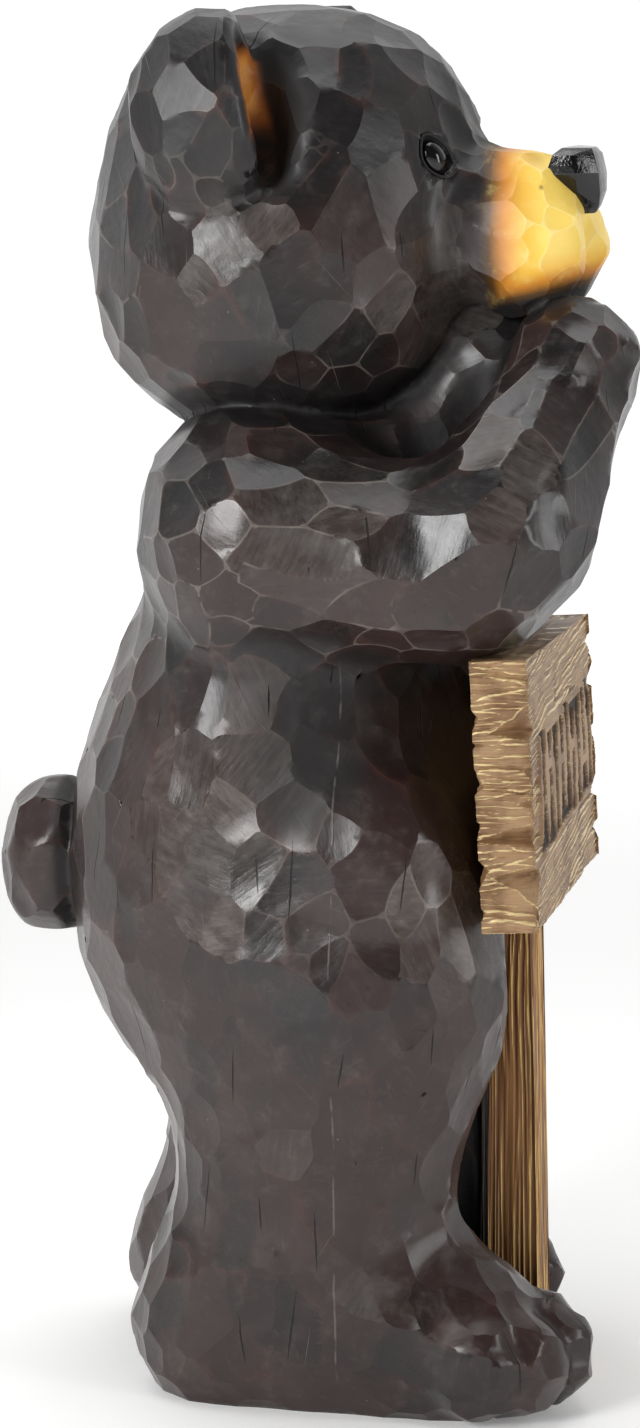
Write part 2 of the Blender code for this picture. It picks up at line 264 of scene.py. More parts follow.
class Sheet(NodeSheet):
    """The node sheet of one material, with a Principled shader on it."""

    def __init__(self, name: str, **constants: float) -> None:
        """Starts a material.

        Args:
            name: The material's name.
            **constants: Values for the shader's own sockets, with _ for a space.
        """
        self.material = bpy.data.materials.new(name)
        self.material.use_nodes = True
        super().__init__(self.material.node_tree)
        self.shader = self.tree.nodes["Principled BSDF"]
        for key, value in constants.items():
            self.shader.inputs[key.replace("_", " ")].default_value = value
        self.place = self.node("ShaderNodeTexCoord").outputs["Object"]

    def attribute(self, name: str) -> Value:
        """A number stored on the mesh."""
        return Value(self, self.node("ShaderNodeAttribute", {"attribute_name": name}).outputs["Fac"])

    def stretched(self, scale: Triple, place: Input = None) -> bpy.types.NodeSocket:
        """The surface's place with each axis scaled.

        Args:
            scale: Factor for each axis.
            place: Coordinates to scale; the object's own if left out.

        Returns:
            The scaled coordinates.
        """
        return self.vector("MULTIPLY", self.place if place is None else place, scale)

    def noise(self, scale: float | Triple, detail: float = 3.0, roughness: float = 0.55,
              place: Input = None) -> Value:
        """Noise around one half.

        Args:
            scale: Blotches per metre, or one number for each axis.
            detail: Octaves.
            roughness: Strength of the finer octaves.
            place: Coordinates to read it at; the object's own if left out.

        Returns:
            The noise.
        """
        axes = scale if isinstance(scale, tuple) else (scale, scale, scale)
        inputs = {"Vector": self.stretched(axes, place), "Scale": 1.0, "Detail": detail,
                  "Roughness": roughness}
        return self.value("ShaderNodeTexNoise", {}, inputs)

    def mix(self, share: Number, first: Input, second: Input) -> bpy.types.NodeSocket:
        """Mixes two colours.

        Args:
            share: How much of the second shows.
            first: The colour underneath.
            second: The colour laid over it.

        Returns:
            The mixed colour.
        """
        colours = [(*c, 1.0) if isinstance(c, tuple) else c for c in (first, second)]
        settings = {"data_type": "RGBA", "blend_type": "MIX", "clamp_factor": True}
        inputs = {"Factor_Float": share, "A_Color": colours[0], "B_Color": colours[1]}
        made = self.node("ShaderNodeMix", settings, inputs)
        return next(out for out in made.outputs if out.identifier == "Result_Color")

    def axis(self, name: str, place: Input = None) -> Value:
        """One coordinate, X, Y or Z, of the surface's place or of another vector."""
        source = self.place if place is None else place
        return Value(self, self.node("ShaderNodeSeparateXYZ", {}, {0: source}).outputs[name])

    def turned(self, angle: Value) -> bpy.types.NodeSocket:
        """The surface's place turned about x, by an angle that may change over the surface."""
        return self.node("ShaderNodeVectorRotate", {"rotation_type": "X_AXIS"},
                         {"Vector": self.place, "Angle": angle}).outputs[0]

    def ramp(self, value: Value, stops: dict[float, Triple]) -> bpy.types.NodeSocket:
        """A colour read from a ramp.

        Args:
            value: Where on the ramp.
            stops: Position to colour.

        Returns:
            The colour.
        """
        return self.node("ShaderNodeValToRGB", {"stops": stops}, {"Fac": value}).outputs["Color"]

    def slits(self, cell: Triple, share: float, lengths: tuple[float, float], half_width: float,
              lean: float, wobble: float = 0.0010) -> Value:
        """Short thin lines that run up a round body, one in some cells of a lattice.

        Args:
            cell: Size of the lattice's cells.
            share: Share of the cells that hold a line.
            lengths: Least and most half length of a line.
            half_width: Half its width at the middle.
            lean: Most sideways run for each metre of height.
            wobble: How far a line strays from straight.

        Returns:
            One in a line, nought outside.
        """
        to_cells = tuple(1 / side for side in cell)
        lattice = self.node("ShaderNodeTexVoronoi", {"feature": "F1"},
                            {"Vector": self.stretched(to_cells), "Scale": 1.0, "Randomness": 0.85})
        middle = self.stretched(cell, lattice.outputs["Position"])
        offset = self.vector("SUBTRACT", self.place, middle)
        chance = self.node("ShaderNodeSeparateColor", {}, {"Color": lattice.outputs["Color"]}).outputs
        tangent = self.vector("NORMALIZE", self.vector("CROSS_PRODUCT", (0.0, 0.0, 1.0), middle))
        across = Value(self, self.vector("DOT_PRODUCT", offset, tangent))
        height = self.axis("Z", offset)
        across = across + height * (Value(self, chance["Red"]) - 0.5) * (2 * lean)
        across = across + (self.noise(120.0, 2.0) - 0.5) * wobble
        half = Value(self, chance["Green"]) * (lengths[1] - lengths[0]) + lengths[0]
        taper = 1.0 - (height / half) ** 2.0
        line = (taper * half_width - abs(across)).rise(0.0, half_width * 0.5)
        return line * Value(self, chance["Blue"]).over(1.0 - share)

    def bump(self, height: Value, distance: float) -> bpy.types.NodeSocket:
        """A bumped normal.

        Args:
            height: The relief, as a share of distance.
            distance: The relief's full height.

        Returns:
            The normal.
        """
        inputs = {"Height": height, "Distance": distance, "Strength": 1.0}
        return self.node("ShaderNodeBump", {}, inputs).outputs["Normal"]

    def dress(self, **sockets: Input) -> bpy.types.Material:
        """Links what changes over the surface to the shader.

        Args:
            **sockets: The shader's sockets, with _ for a space.

        Returns:
            The finished material.
        """
        for key, value in sockets.items():
            link = value.socket if isinstance(value, Value) else value
            self.tree.links.new(link, self.shader.inputs[key.replace("_", " ")])
        return self.material


# ---- masses -------------------------------------------------------------------------------------
def ball(points: Array, centre: Triple, radii: Triple, power: float = 2.0) -> Array:
    """Distance to a ball that is round in plan and squared up its height.

    Args:
        points: Places to measure from.
        centre: The ball's middle.
        radii: Its half sizes.
        power: Two for round; more is squarer.

    Returns:
        The distance, negative inside.
    """
    scaled = (points - np.float32(centre)) / np.float32(radii)
    plan = np.hypot(scaled[..., 0], scaled[..., 1]) + 1e-7
    rise = np.abs(scaled[..., 2])
    size = (plan**power + rise**power) ** (1 / power) + 1e-6
    plan_slope = (plan / size) ** (power - 1)
    slope = np.sqrt(
        (plan_slope * scaled[..., 0] / plan / radii[0]) ** 2
        + (plan_slope * scaled[..., 1] / plan / radii[1]) ** 2
        + ((rise / size) ** (power - 1) / radii[2]) ** 2
    )
    return (size - 1) / (slope + 1e-6)


def limb(points: Array, start: Triple, end: Triple, radii: tuple[float, float],
         squeeze: float = 1.0) -> Array:
    """Distance to a rod with round ends that tapers.

    Args:
        points: Places to measure from.
        start: Middle of one end.
        end: Middle of the other end.
        radii: Radius at each end.
        squeeze: Above one it narrows the rod across x.

    Returns:
        The distance, negative inside.
    """
    scale = np.float32((squeeze, 1, 1))
    first, last = np.float32(start) * scale, np.float32(end) * scale
    along = last - first
    offset = points * scale - first
    share = np.clip(offset @ along / (along @ along), 0, 1)
    gap = offset - share[..., None] * along
    return np.sqrt((gap * gap).sum(-1)) - (radii[0] + (radii[1] - radii[0]) * share)


def slab(points: Array, centre: Triple, half: Triple, rounding: float) -> Array:
    """Distance to a box with rounded edges.

    Args:
        points: Places to measure from.
        centre: The box's middle.
        half: Its half sizes.
        rounding: Radius of its edges.

    Returns:
        The distance, negative inside.
    """
    beyond = np.abs(points - np.float32(centre)) - (np.float32(half) - rounding)
    outside = np.sqrt((np.maximum(beyond, 0) ** 2).sum(-1))
    return outside + np.minimum(beyond.max(-1), 0) - rounding


def half_space(points: Array, through: Triple, facing: Triple) -> Array:
    """Distance from a plane, positive on the side that it faces."""
    return (points - np.float32(through)) @ np.float32(Vector(facing).normalized())


def melt(first: Array, second: Array, blend: float) -> Array:
    """Union of two masses with a fillet of about the size blend."""
    overlap = np.maximum(blend - np.abs(first - second), 0) / blend
    return np.minimum(first, second) - overlap * overlap * blend * 0.25


def carve(mass: Array, cutter: Array, blend: float) -> Array:
    """The mass with the cutter taken out of it."""
    return -melt(-mass, cutter, blend)


def mirrored(points: Array) -> Array:
    """Points folded onto the right side, for what is alike on both sides."""
    folded = points.copy()
    folded[..., 0] = -np.abs(folded[..., 0])
    return folded


def on_side(points: Array, side: Side, forward: float) -> Array:
    """Points as the right limb would see them, with the limb moved forward."""
    moved = points.copy()
    moved[..., 0] *= -side.value
    moved[..., 1] += forward
    return moved


def unit(vectors: Array) -> Array:
    """The vectors at length one."""
    return vectors / (np.linalg.norm(vectors, axis=-1, keepdims=True) + 1e-9)


def slope_of(form: Form, points: Array, step: float = 0.0008) -> Array:
    """Gradient of a form.

    Args:
        form: The form.
        points: Where to take its gradient.
        step: Half the distance between the two readings on each axis.

    Returns:
        One gradient for each point.
    """
    columns = []
    for axis in range(3):
        nudge = np.zeros(3, np.float32)
        nudge[axis] = step
        columns.append((form(points + nudge) - form(points - nudge)) / (2 * step))
    return np.stack(columns, -1)


# ---- the bear's form ----------------------------------------------------------------------------
@dataclass(frozen=True)
class Head:
    """Skull, jowls, muzzle and cupped ears, in a frame that is turned and tipped."""

    centre: Triple = (0.0, 0.0205, 0.6755)
    yaw: float = -8.5
    roll: float = -5.0
    skull: Mass = ((0, -0.0075, 0.012), (0.113, 0.1125, 0.111))
    jowl: Mass = ((0, 0.001, -0.036), (0.112, 0.102, 0.084))
    muzzle: Mass = ((0, -0.110, -0.003), (0.046, 0.064, 0.042))
    lips: Mass = ((-0.020, -0.150, -0.015), (0.029, 0.036, 0.037))
    bridge: Mass = ((0, -0.132, 0.011), (0.032, 0.046, 0.025))
    ear: Mass = ((-0.099, 0.0035, 0.0645), (0.038, 0.0475, 0.0575))
    ear_mouth: Mass = ((-0.127, -0.0262, 0.0765), (-0.20, 1, -0.20))    # a point of its plane, the facing
    cup: Mass = ((-0.099, -0.0205, 0.064), (0.0195, 0.0175, 0.041))
    cup_power: float = 2.2
    nose: Mass = ((0.0, -0.170, 0.024), (0.019, 0.014, 0.016))
    eye: Mass = ((-0.0445, -0.1035, 0.0385), (0.0095, 0.0105, 0.0125))
    socket: Mass = ((-0.0455, -0.120, 0.0385), (0.0155, 0.0165, 0.0205))
    eye_place: Triple = (-0.0457, -0.108, 0.0385)
    eye_outward: Triple = (-0.42, -0.88, 0.20)
    eye_tilt: float = 26.0
    opening: Triple = (0.0094, 0.0134, 0.0085)

    def turn(self) -> Matrix:
        """Rotation from the head's frame to the bear's."""
        return Euler((0, radians(self.roll), radians(self.yaw)), "XYZ").to_matrix()

    def local(self, points: Array) -> Array:
        """Points in the head's own frame."""
        return (points - np.float32(self.centre)) @ np.float32(self.turn())

    def placed(self) -> Matrix:
        """The head's frame as a placement in the room."""
        middle = Vector(self.centre) + Vector(STAND_OFFSET)
        return Matrix.Translation(middle) @ self.turn().to_4x4()

    def eye_turn(self) -> Matrix:
        """Rotation from the right eye's frame, whose z looks outward and whose y goes up the almond."""
        out = Vector(self.eye_outward).normalized()
        right = Vector((0, 0, 1)).cross(out).normalized()
        turn = Matrix((right, out.cross(right), out)).transposed()
        return turn @ Matrix.Rotation(radians(self.eye_tilt), 3, "Z")

    def ear_form(self, pair: Array) -> Array:
        """One ear of the folded pair, cut off flat where it opens forward."""
        return carve(ball(pair, *self.ear), half_space(pair, *self.ear_mouth), 0.005)

    def cup_form(self, pair: Array) -> Array:
        """The hollow of one ear of the folded pair."""
        return ball(pair, *self.cup, self.cup_power)

    def form(self, points: Array, beads: bool) -> Array:
        """Distance to the head.

        Args:
            points: Places to measure from.
            beads: Whether the nose and the eyes are part of it.

        Returns:
            The distance.
        """
        local = self.local(points)
        pair = mirrored(local)
        form = melt(ball(local, *self.skull, 2.3), ball(local, *self.jowl, 2.4), 0.040)
        muzzle = melt(ball(local, *self.muzzle, 2.4), ball(pair, *self.lips), 0.010)
        muzzle = melt(muzzle, ball(local, *self.bridge, 2.3), 0.015)
        form = melt(form, muzzle, 0.016)
        cup = self.cup_form(pair)
        form = melt(carve(form, cup, 0.020), carve(self.ear_form(pair), cup, 0.004), 0.005)
        if not beads:
            seen = (pair - np.float32(self.eye_place)) @ np.float32(self.eye_turn())
            return carve(form, ball(seen, (0, 0, 0), self.opening), 0.0015)
        form = melt(form, slab(local, *self.nose, 0.005), 0.003)
        return melt(carve(form, ball(pair, *self.socket), 0.008), ball(pair, *self.eye), 0.002)


@dataclass(frozen=True)
class Torso:
    """Pear-shaped body with a yoke across the shoulders, and the chest and rib behind the sign."""

    belly: Mass = ((0, 0.0185, 0.303), (0.132, 0.129, 0.155))
    chest: Mass = ((0, 0.008, 0.465), (0.116, 0.088, 0.108))
    yoke: Rod = ((-0.07, 0.027, 0.508), (0.07, 0.027, 0.508), (0.060, 0.060))
    throat: Rod = ((0, -0.030, 0.500), (0, -0.100, 0.592), (0.055, 0.044))
    rib: Mass = ((0, -0.060, 0.206), (0.013, 0.0420, 0.194))

    def form(self, points: Array) -> Array:
        """Distance to the body."""
        form = melt(ball(points, *self.belly, 2.3), ball(points, *self.chest, 3.0), 0.060)
        return melt(form, limb(points, *self.yoke), 0.03)

    def web(self, points: Array) -> Array:
        """Distance to the chest under the chin and the rib that backs the sign."""
        return melt(limb(points, *self.throat), slab(points, *self.rib, 0.004), 0.010)


@dataclass(frozen=True)
class Limbs:
    """Thick legs on long feet, and arms folded up under the chin."""

    leg_stagger: float = 0.019
    arm_stagger: float = 0.014
    arm_back: float = 0.004
    leg: Rod = ((-0.064, 0.004, 0.230), (-0.068, 0.009, 0.100), (0.087, 0.0815))
    thigh: Mass = ((-0.082, -0.036, 0.250), (0.056, 0.066, 0.098))
    hip: Mass = ((-0.102, -0.038, 0.322), (0.036, 0.040, 0.044))
    foot: Rod = ((-0.068, 0.053, 0.040), (-0.076, -0.064, 0.037), (0.062, 0.055))
    instep: Mass = ((-0.081, -0.076, 0.046), (0.040, 0.051, 0.042))
    upper_arm: Rod = ((-0.096, 0.026, 0.495), (-0.100, -0.088, 0.4855), (0.058, 0.0545))
    forearm: Rod = ((-0.100, -0.1145, 0.5105), (-0.054, -0.143, 0.588), (0.0515, 0.034))
    paw: Mass = ((-0.050, -0.145, 0.598), (0.033, 0.033, 0.034))
    toe_height: float = 0.0335
    toe_reach: tuple[float, float] = (0.031, 0.0315)        # half length and half height
    toes: tuple[Triple, ...] = ((-0.109, -0.0925, 0.025), (-0.0985, -0.1125, 0.0215),
                                (-0.0765, -0.1245, 0.0205), (-0.053, -0.116, 0.020))    # x, y, half width

    def leg_form(self, points: Array, side: Side) -> Array:
        """Distance to one leg with its thigh, knee, foot and toes."""
        local = on_side(points, side, -self.leg_stagger * side.value)
        leg = melt(limb(local, *self.leg, 1.25), ball(local, *self.thigh), 0.040)
        leg = melt(leg, ball(local, *self.hip), 0.020)
        foot = melt(limb(local, *self.foot, 1.2), ball(local, *self.instep), 0.020)
        toes = 1.0
        for x, y, half_width in self.toes:
            toe = ball(local, (x, y, self.toe_height), (half_width, *self.toe_reach))
            toes = melt(toes, toe, 0.003)
        return melt(leg, melt(foot, toes, 0.006), 0.036)

    def arm_form(self, points: Array, side: Side) -> Array:
        """Distance to one arm, from the shoulder to the paw under the chin."""
        local = on_side(points, side, -(self.arm_back + self.arm_stagger * side.value))
        arm = melt(limb(local, *self.upper_arm), limb(local, *self.forearm), 0.02)
        return melt(arm, ball(local, *self.paw), 0.015)

    def legs(self, points: Array) -> Array:
        """Distance to both legs."""
        return melt(*(self.leg_form(points, side) for side in Side), 0.010)

    def arms(self, points: Array) -> Array:
        """Distance to both arms."""
        return melt(*(self.arm_form(points, side) for side in Side), 0.010)


@dataclass(frozen=True)
class BearForm:
    """The whole bear before it is gouged."""

    head: Head = Head()
    torso: Torso = Torso()
    limbs: Limbs = Limbs()
    tail: Mass = ((0, 0.159, 0.299), (0.038, 0.033, 0.046))
    cut_allowance: float = 0.0012

    def whole(self, points: Array, beads: bool = True) -> Array:
        """Distance to the bear.

        Args:
            points: Places to measure from.
            beads: Whether the nose and the eyes are part of it.

        Returns:
            The distance to a skin a little inside the real form, which leaves room for the
            ridges that the cuts raise.
        """
        form = melt(self.torso.form(points), self.limbs.legs(points), 0.040)
        form = melt(form, self.torso.web(points), 0.020)
        form = melt(form, self.limbs.arms(points), 0.022)
        form = melt(form, self.head.form(points, beads), 0.008)
        return melt(form, ball(points, *self.tail, 2.3), 0.004) + self.cut_allowance


# ---- a net of faces over a form -----------------------------------------------------------------
def fill_pinches(values: Array) -> Array:
    """Fills the grid squares that are inside at two opposite corners only, where a net would pinch."""
    for _ in range(6):
        pinched = 0
        for across, up in ((0, 1), (1, 2), (2, 0)):
            corners = []
            for from_across, from_up in ((0, 0), (1, 0), (1, 1), (0, 1)):
                window = [slice(None)] * 3
                window[across] = slice(from_across, values.shape[across] - 1 + from_across)
                window[up] = slice(from_up, values.shape[up] - 1 + from_up)
                corners.append(values[tuple(window)])
            inside = [corner < 0 for corner in corners]
            pinch = (inside[0] == inside[2]) & (inside[1] == inside[3]) & (inside[0] != inside[1])
            for corner in corners:
                corner[pinch & (corner >= 0)] = -1e-4
            pinched += pinch.sum()
        if not pinched:
            break
    return values


@dataclass(frozen=True)
class Grid:
    """A lattice of samples that a net of faces is drawn from."""

    low: Triple = (-0.180, -0.210, -0.048)
    high: Triple = (0.180, 0.222, 0.834)
    cell: float = 0.006
    near_cells: float = 2.5     # a finer lattice is sampled this many cells to each side of the form

    def sampled(self, form: Form) -> Array:
        """The form at every point of the lattice."""
        counts = np.ceil((np.float32(self.high) - np.float32(self.low)) / self.cell).astype(int) + 1
        axes = [self.low[k] + self.cell * np.arange(counts[k], dtype=np.float32) for k in range(3)]
        return np.stack([form(np.stack(np.meshgrid(x, axes[1], axes[2], indexing="ij"), -1))[0]
                         for x in axes[0][:, None]])

    def finer(self, form: Form, values: Array, cell: float) -> tuple["Grid", Array]:
        """A lattice with smaller cells, sampled only near the form.

        Args:
            form: The form.
            values: The form on this lattice.
            cell: Size of the smaller cells.

        Returns:
            The finer lattice and its samples.
        """
        fine = Grid(self.low, self.high, cell)
        counts = np.ceil((np.float32(self.high) - np.float32(self.low)) / cell).astype(int) + 1
        places = [np.minimum(np.rint(np.arange(count) * (cell / self.cell)).astype(int), size - 1)
                  for count, size in zip(counts, values.shape)]
        samples = values[np.ix_(*places)]
        near = np.argwhere(np.abs(samples) < self.near_cells * self.cell)
        points = near.astype(np.float32) * fine.cell + np.float32(self.low)
        samples[tuple(near.T)] = np.concatenate([form(part) for part in np.array_split(points, 12)])
        return fine, samples

    def net(self, form: Form, values: Array) -> tuple[Array, Array]:
        """Closed net of four-sided faces over the form.

        Args:
            form: The form, for moving the net's points onto it.
            values: Its samples on this lattice.

        Returns:
            Points and faces.
        """
        values = fill_pinches(values)
        counts = values.shape
        total = np.zeros((*counts, 3), np.float32)
        hits = np.zeros(counts, np.float32)
        rings = []
        for axis in range(3):
            before = np.take(values, range(counts[axis] - 1), axis)
            after = np.take(values, range(1, counts[axis]), axis)
            found = np.argwhere((before < 0) != (after < 0))
            start, end = before[tuple(found.T)], after[tuple(found.T)]
            crossing = found.astype(np.float32)
            crossing[:, axis] += start / (start - end)
            across, up = (axis + 1) % 3, (axis + 2) % 3
            ring = []
            for step_across, step_up in ((0, 0), (1, 0), (1, 1), (0, 1)):
                owner = found.copy()
                owner[:, across] -= step_across
                owner[:, up] -= step_up
                np.add.at(total, tuple(owner.T), crossing)
                np.add.at(hits, tuple(owner.T), 1)
                ring.append(owner)
            ring = np.stack(ring, 1)
            ring[start > 0] = ring[start > 0][:, ::-1]
            rings.append(ring)
        used = hits > 0
        numbers = np.full(counts, -1)
        numbers[used] = np.arange(used.sum())
        rings = np.concatenate(rings)
        faces = numbers[rings[..., 0], rings[..., 1], rings[..., 2]][:, ::-1]
        points = total[used] / hits[used][:, None] * self.cell + np.float32(self.low)
        for _ in range(3):
            slope = slope_of(form, points)
            points -= form(points)[:, None] * slope / ((slope * slope).sum(-1, keepdims=True) + 1e-9)
        return points, faces


# ---- gouge cuts ---------------------------------------------------------------------------------
@dataclass
class Gouges:
    """The gouge cuts: where each is centred, and how it bends away from the form."""

    spacing: float = 0.0215
    fine_spacing: float = 0.016
    spacing_spread: tuple[float, float] = (0.85, 1.2)
    lowest: float = -0.004          # no cut is centred below this
    height_share: float = 0.78
    bend_range: tuple[float, float] = (4.0, 34.0)
    bend_reach: float = 0.005       # the bend is felt this far to each side of a centre
    bend_step: float = 0.002
    depth_bend: float = 25.0
    rise_limit: float = 0.0035
    neighbours: int = 8
    ridge_reach: float = 0.42       # points nearer to a ridge than this share of a cell move onto it
    ridge_far: float = 0.03         # distances to a ridge are kept up to this
    hollows: tuple[float, float] = (0.30, 0.25)
    hollow_range: tuple[float, float] = (0.75, 2.0)
    tilt_spread: float = 0.045
    fine_zones: tuple[Mass, ...] = (                # face, paws and ears, where the cuts are smaller
        ((-0.02, -0.130, 0.670), (0.075, 0.075, 0.075)),
        ((0, -0.150, 0.600), (0.10, 0.05, 0.055)),
        ((-0.095, 0.045, 0.735), (0.050, 0.045, 0.055)),
        ((0.085, 0.020, 0.750), (0.050, 0.045, 0.055)),
    )
    feet_height: float = 0.075                      # the cuts are smaller below it too,
    heel_from: float = -0.03                        # and this height falls from here back
    heel_rate: float = 0.8
    fine_fade: float = 0.03
    seed: int = 7
    centres: Array = field(default=None, repr=False)
    bends: Array = field(default=None, repr=False)
    tilts: Array = field(default=None, repr=False)
    tree: KDTree = field(default=None, repr=False)

    def spacing_at(self, points: Array) -> Array:
        """Distance between cuts: small on the head's features, the paws and the feet."""
        back = np.maximum(points[..., 1] - self.heel_from, 0) * self.heel_rate
        feet = self.feet_height - points[..., 2] + back
        away = np.minimum.reduce([-feet] + [ball(points, *zone) for zone in self.fine_zones])
        share = np.clip(away / self.fine_fade, 0, 1)
        return self.fine_spacing + (self.spacing - self.fine_spacing) * share

    def scatter(self, form: Form, points: Array) -> None:
        """Spreads the cuts over a net's points, taller than they are wide.

        Args:
            form: The form that the net lies on.
            points: The net's points.
        """
        dice = np.random.default_rng(self.seed)
        order = dice.permutation(len(points))
        order = order[points[order, 2] > self.lowest]
        stretched = points * np.float32((1, 1, self.height_share))
        spacing = self.spacing_at(points) * dice.uniform(*self.spacing_spread, len(points))
        chosen = np.empty((0, 3), np.float32)
        picked = []
        for index in order:
            gaps = np.linalg.norm(chosen - stretched[index], axis=1)
            if not len(gaps) or gaps.min() > spacing[index]:
                picked.append(index)
                chosen = np.vstack([chosen, stretched[index]])
        self.centres = points[picked]
        hollow = np.clip(dice.lognormal(*self.hollows, len(picked)), *self.hollow_range)
        self.tilts = self.tilt_spread * dice.normal(0, 1, (len(picked), 3))
        self.bends = self._bends_of(form, self.centres) * hollow[:, None, None]
        self.tree = KDTree(len(picked))
        for number, centre in enumerate(self.centres):
            self.tree.insert(centre, number)
        self.tree.balance()

    def _bends_of(self, form: Form, centres: Array) -> Array:
        """Half the form's curvature at each centre, as a quadratic form over offsets."""
        normals = unit(slope_of(form, centres))
        reach, step = self.bend_reach, self.bend_step
        hessian = np.stack([(unit(slope_of(form, centres + reach * axis, step))
                             - unit(slope_of(form, centres - reach * axis, step))) / (2 * reach)
                            for axis in np.eye(3, dtype=np.float32)], -1)
        hessian = (hessian + np.swapaxes(hessian, 1, 2)) / 2
        across = normals[:, :, None] * normals[:, None, :]
        flat = np.eye(3) - across
        curvature, frames = np.linalg.eigh(flat @ hessian @ flat)
        curvature = np.clip(curvature, *self.bend_range)
        bends = (frames * curvature[:, None, :]) @ np.swapaxes(frames, 1, 2) * 0.5
        return flat @ bends @ flat + self.depth_bend * across

    def _rises(self, points: Array, cuts: Array) -> tuple[Array, Array]:
        """How far each cut lets the surface rise at the points, and the slope of that rise."""
        offset = points[:, None, :] - self.centres[cuts]
        slope = np.einsum("vkij,vkj->vki", self.bends[cuts], offset)
        tilt = self.tilts[cuts]
        return np.einsum("vki,vki->vk", slope + tilt, offset), 2 * slope + tilt

    def nearest(self, points: Array) -> Array:
        """Numbers of the cuts to compare at each point."""
        return np.array([[found[1] for found in self.tree.find_n(point, self.neighbours)]
                         for point in points])

    def cut(self, form: Form, points: Array, cell: float, fade: Array) -> tuple[Array, Array]:
        """Raises points onto the cuts and moves those near a ridge onto it.

        Args:
            form: The form that the points lie on.
            points: A net's points.
            cell: The net's cell size.
            fade: How much of the rise each point takes.

        Returns:
            The new points, and each point's distance to the nearest ridge.
        """
        cuts = self.nearest(points)
        normals = unit(slope_of(form, points))
        rows = np.arange(len(points))
        for step in range(3):
            rise, slope = self._rises(points, cuts)
            rank = np.argsort(rise, 1)[:, :2]
            gap = rise[rows, rank[:, 1]] - rise[rows, rank[:, 0]]
            across = slope[rows, rank[:, 1]] - slope[rows, rank[:, 0]]
            across -= (across * normals).sum(-1, keepdims=True) * normals
            steep = np.linalg.norm(across, axis=-1) + 1e-6
            if step == 2:
                break
            near = gap / steep < cell * self.ridge_reach
            points = points - np.where(near, gap / steep**2, 0)[:, None] * across
        height = np.minimum(rise.min(1), self.rise_limit) * fade
        return points + normals * height[:, None], np.minimum(gap / steep, self.ridge_far)

    def owner(self, points: Array) -> Array:
        """Number of the cut that each point belongs to."""
        cuts = self.nearest(points)
        return cuts[np.arange(len(points)), self._rises(points, cuts)[0].argmin(1)]


# ---- meshes -------------------------------------------------------------------------------------
def add_piece(name: str, mesh: bpy.types.Mesh, material: bpy.types.Material) -> bpy.types.Object:
    """Shows a mesh as a piece of the statue.

    Args:
        name: The piece's name.
        mesh: Its mesh.
        material: Its finish.

    Returns:
        The object.
    """
    piece = bpy.data.objects.new(name, mesh)
    bpy.context.scene.collection.objects.link(piece)
    mesh.materials.clear()
    mesh.materials.append(material)
    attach(piece, "root")
    log.info("%s: %d faces", name, len(mesh.polygons))
    return piece


def store(mesh: bpy.types.Mesh, name: str, values: Array, domain: str = "POINT") -> None:
    """Keeps a number for each point or face on a mesh.

    Args:
        mesh: The mesh.
        name: The attribute's name.
        values: The numbers.
        domain: POINT or FACE.
    """
    layer = mesh.attributes.new(name, "FLOAT", domain)
    layer.data.foreach_set("value", np.float32(values))


RIDGE_PULL = 12.0       # how strongly a split keeps to a ridge
RIDGE_NEAR = 0.003      # and how near a ridge has to be to matter


def split_quads(points: Array, quads: Array, ridge: Array) -> Array:
    """Triangles from four-sided faces, split along a ridge where one passes.

    Args:
        points: The net's points.
        quads: Its faces.
        ridge: Each point's distance to the nearest ridge.

    Returns:
        The triangles.
    """
    corner = points[quads]
    length = np.stack([np.linalg.norm(corner[:, 2] - corner[:, 0], axis=-1),
                       np.linalg.norm(corner[:, 3] - corner[:, 1], axis=-1)], 1)
    off_ridge = np.stack([ridge[quads[:, 0]] + ridge[quads[:, 2]],
                          ridge[quads[:, 1]] + ridge[quads[:, 3]]], 1)
    cost = length + RIDGE_PULL * np.minimum(off_ridge, RIDGE_NEAR)
    turn = cost[:, 1] < cost[:, 0]
    quads = np.where(turn[:, None], np.roll(quads, -1, 1), quads)
    return np.concatenate([quads[:, [0, 1, 2]], quads[:, [0, 2, 3]]])


ON_RIDGE = 4e-4         # a point nearer than this to a ridge is on it
WORN_BELOW = 0.32       # handling has worn the edges below this height
WORN_FADE = 0.10        # and fully so this much lower


def mark_creases(mesh: bpy.types.Mesh, least: float, ridge: Array | None = None,
                 worn: float = 0.0) -> None:
    """Marks the edges that shade as crisp.

    Args:
        mesh: A mesh whose faces shade smooth.
        least: Angle in degrees between two faces that makes their edge crisp.
        ridge: Each point's distance to a ridge; only edges on a ridge are marked if given.
        worn: Degrees added to the least angle low down, where handling has worn the edges.
    """
    work = bmesh.new()
    work.from_mesh(mesh)
    for edge in work.edges:
        on_ridge = ridge is None or max(ridge[vertex.index] for vertex in edge.verts) < ON_RIDGE
        limit = least + worn * min(max((WORN_BELOW - edge.verts[0].co.z) / WORN_FADE, 0.0), 1.0)
        edge.smooth = not (on_ridge and len(edge.link_faces) == 2
                           and edge.calc_face_angle() > radians(limit))
    for face in work.faces:
        face.smooth = True
    work.to_mesh(mesh)
    work.free()


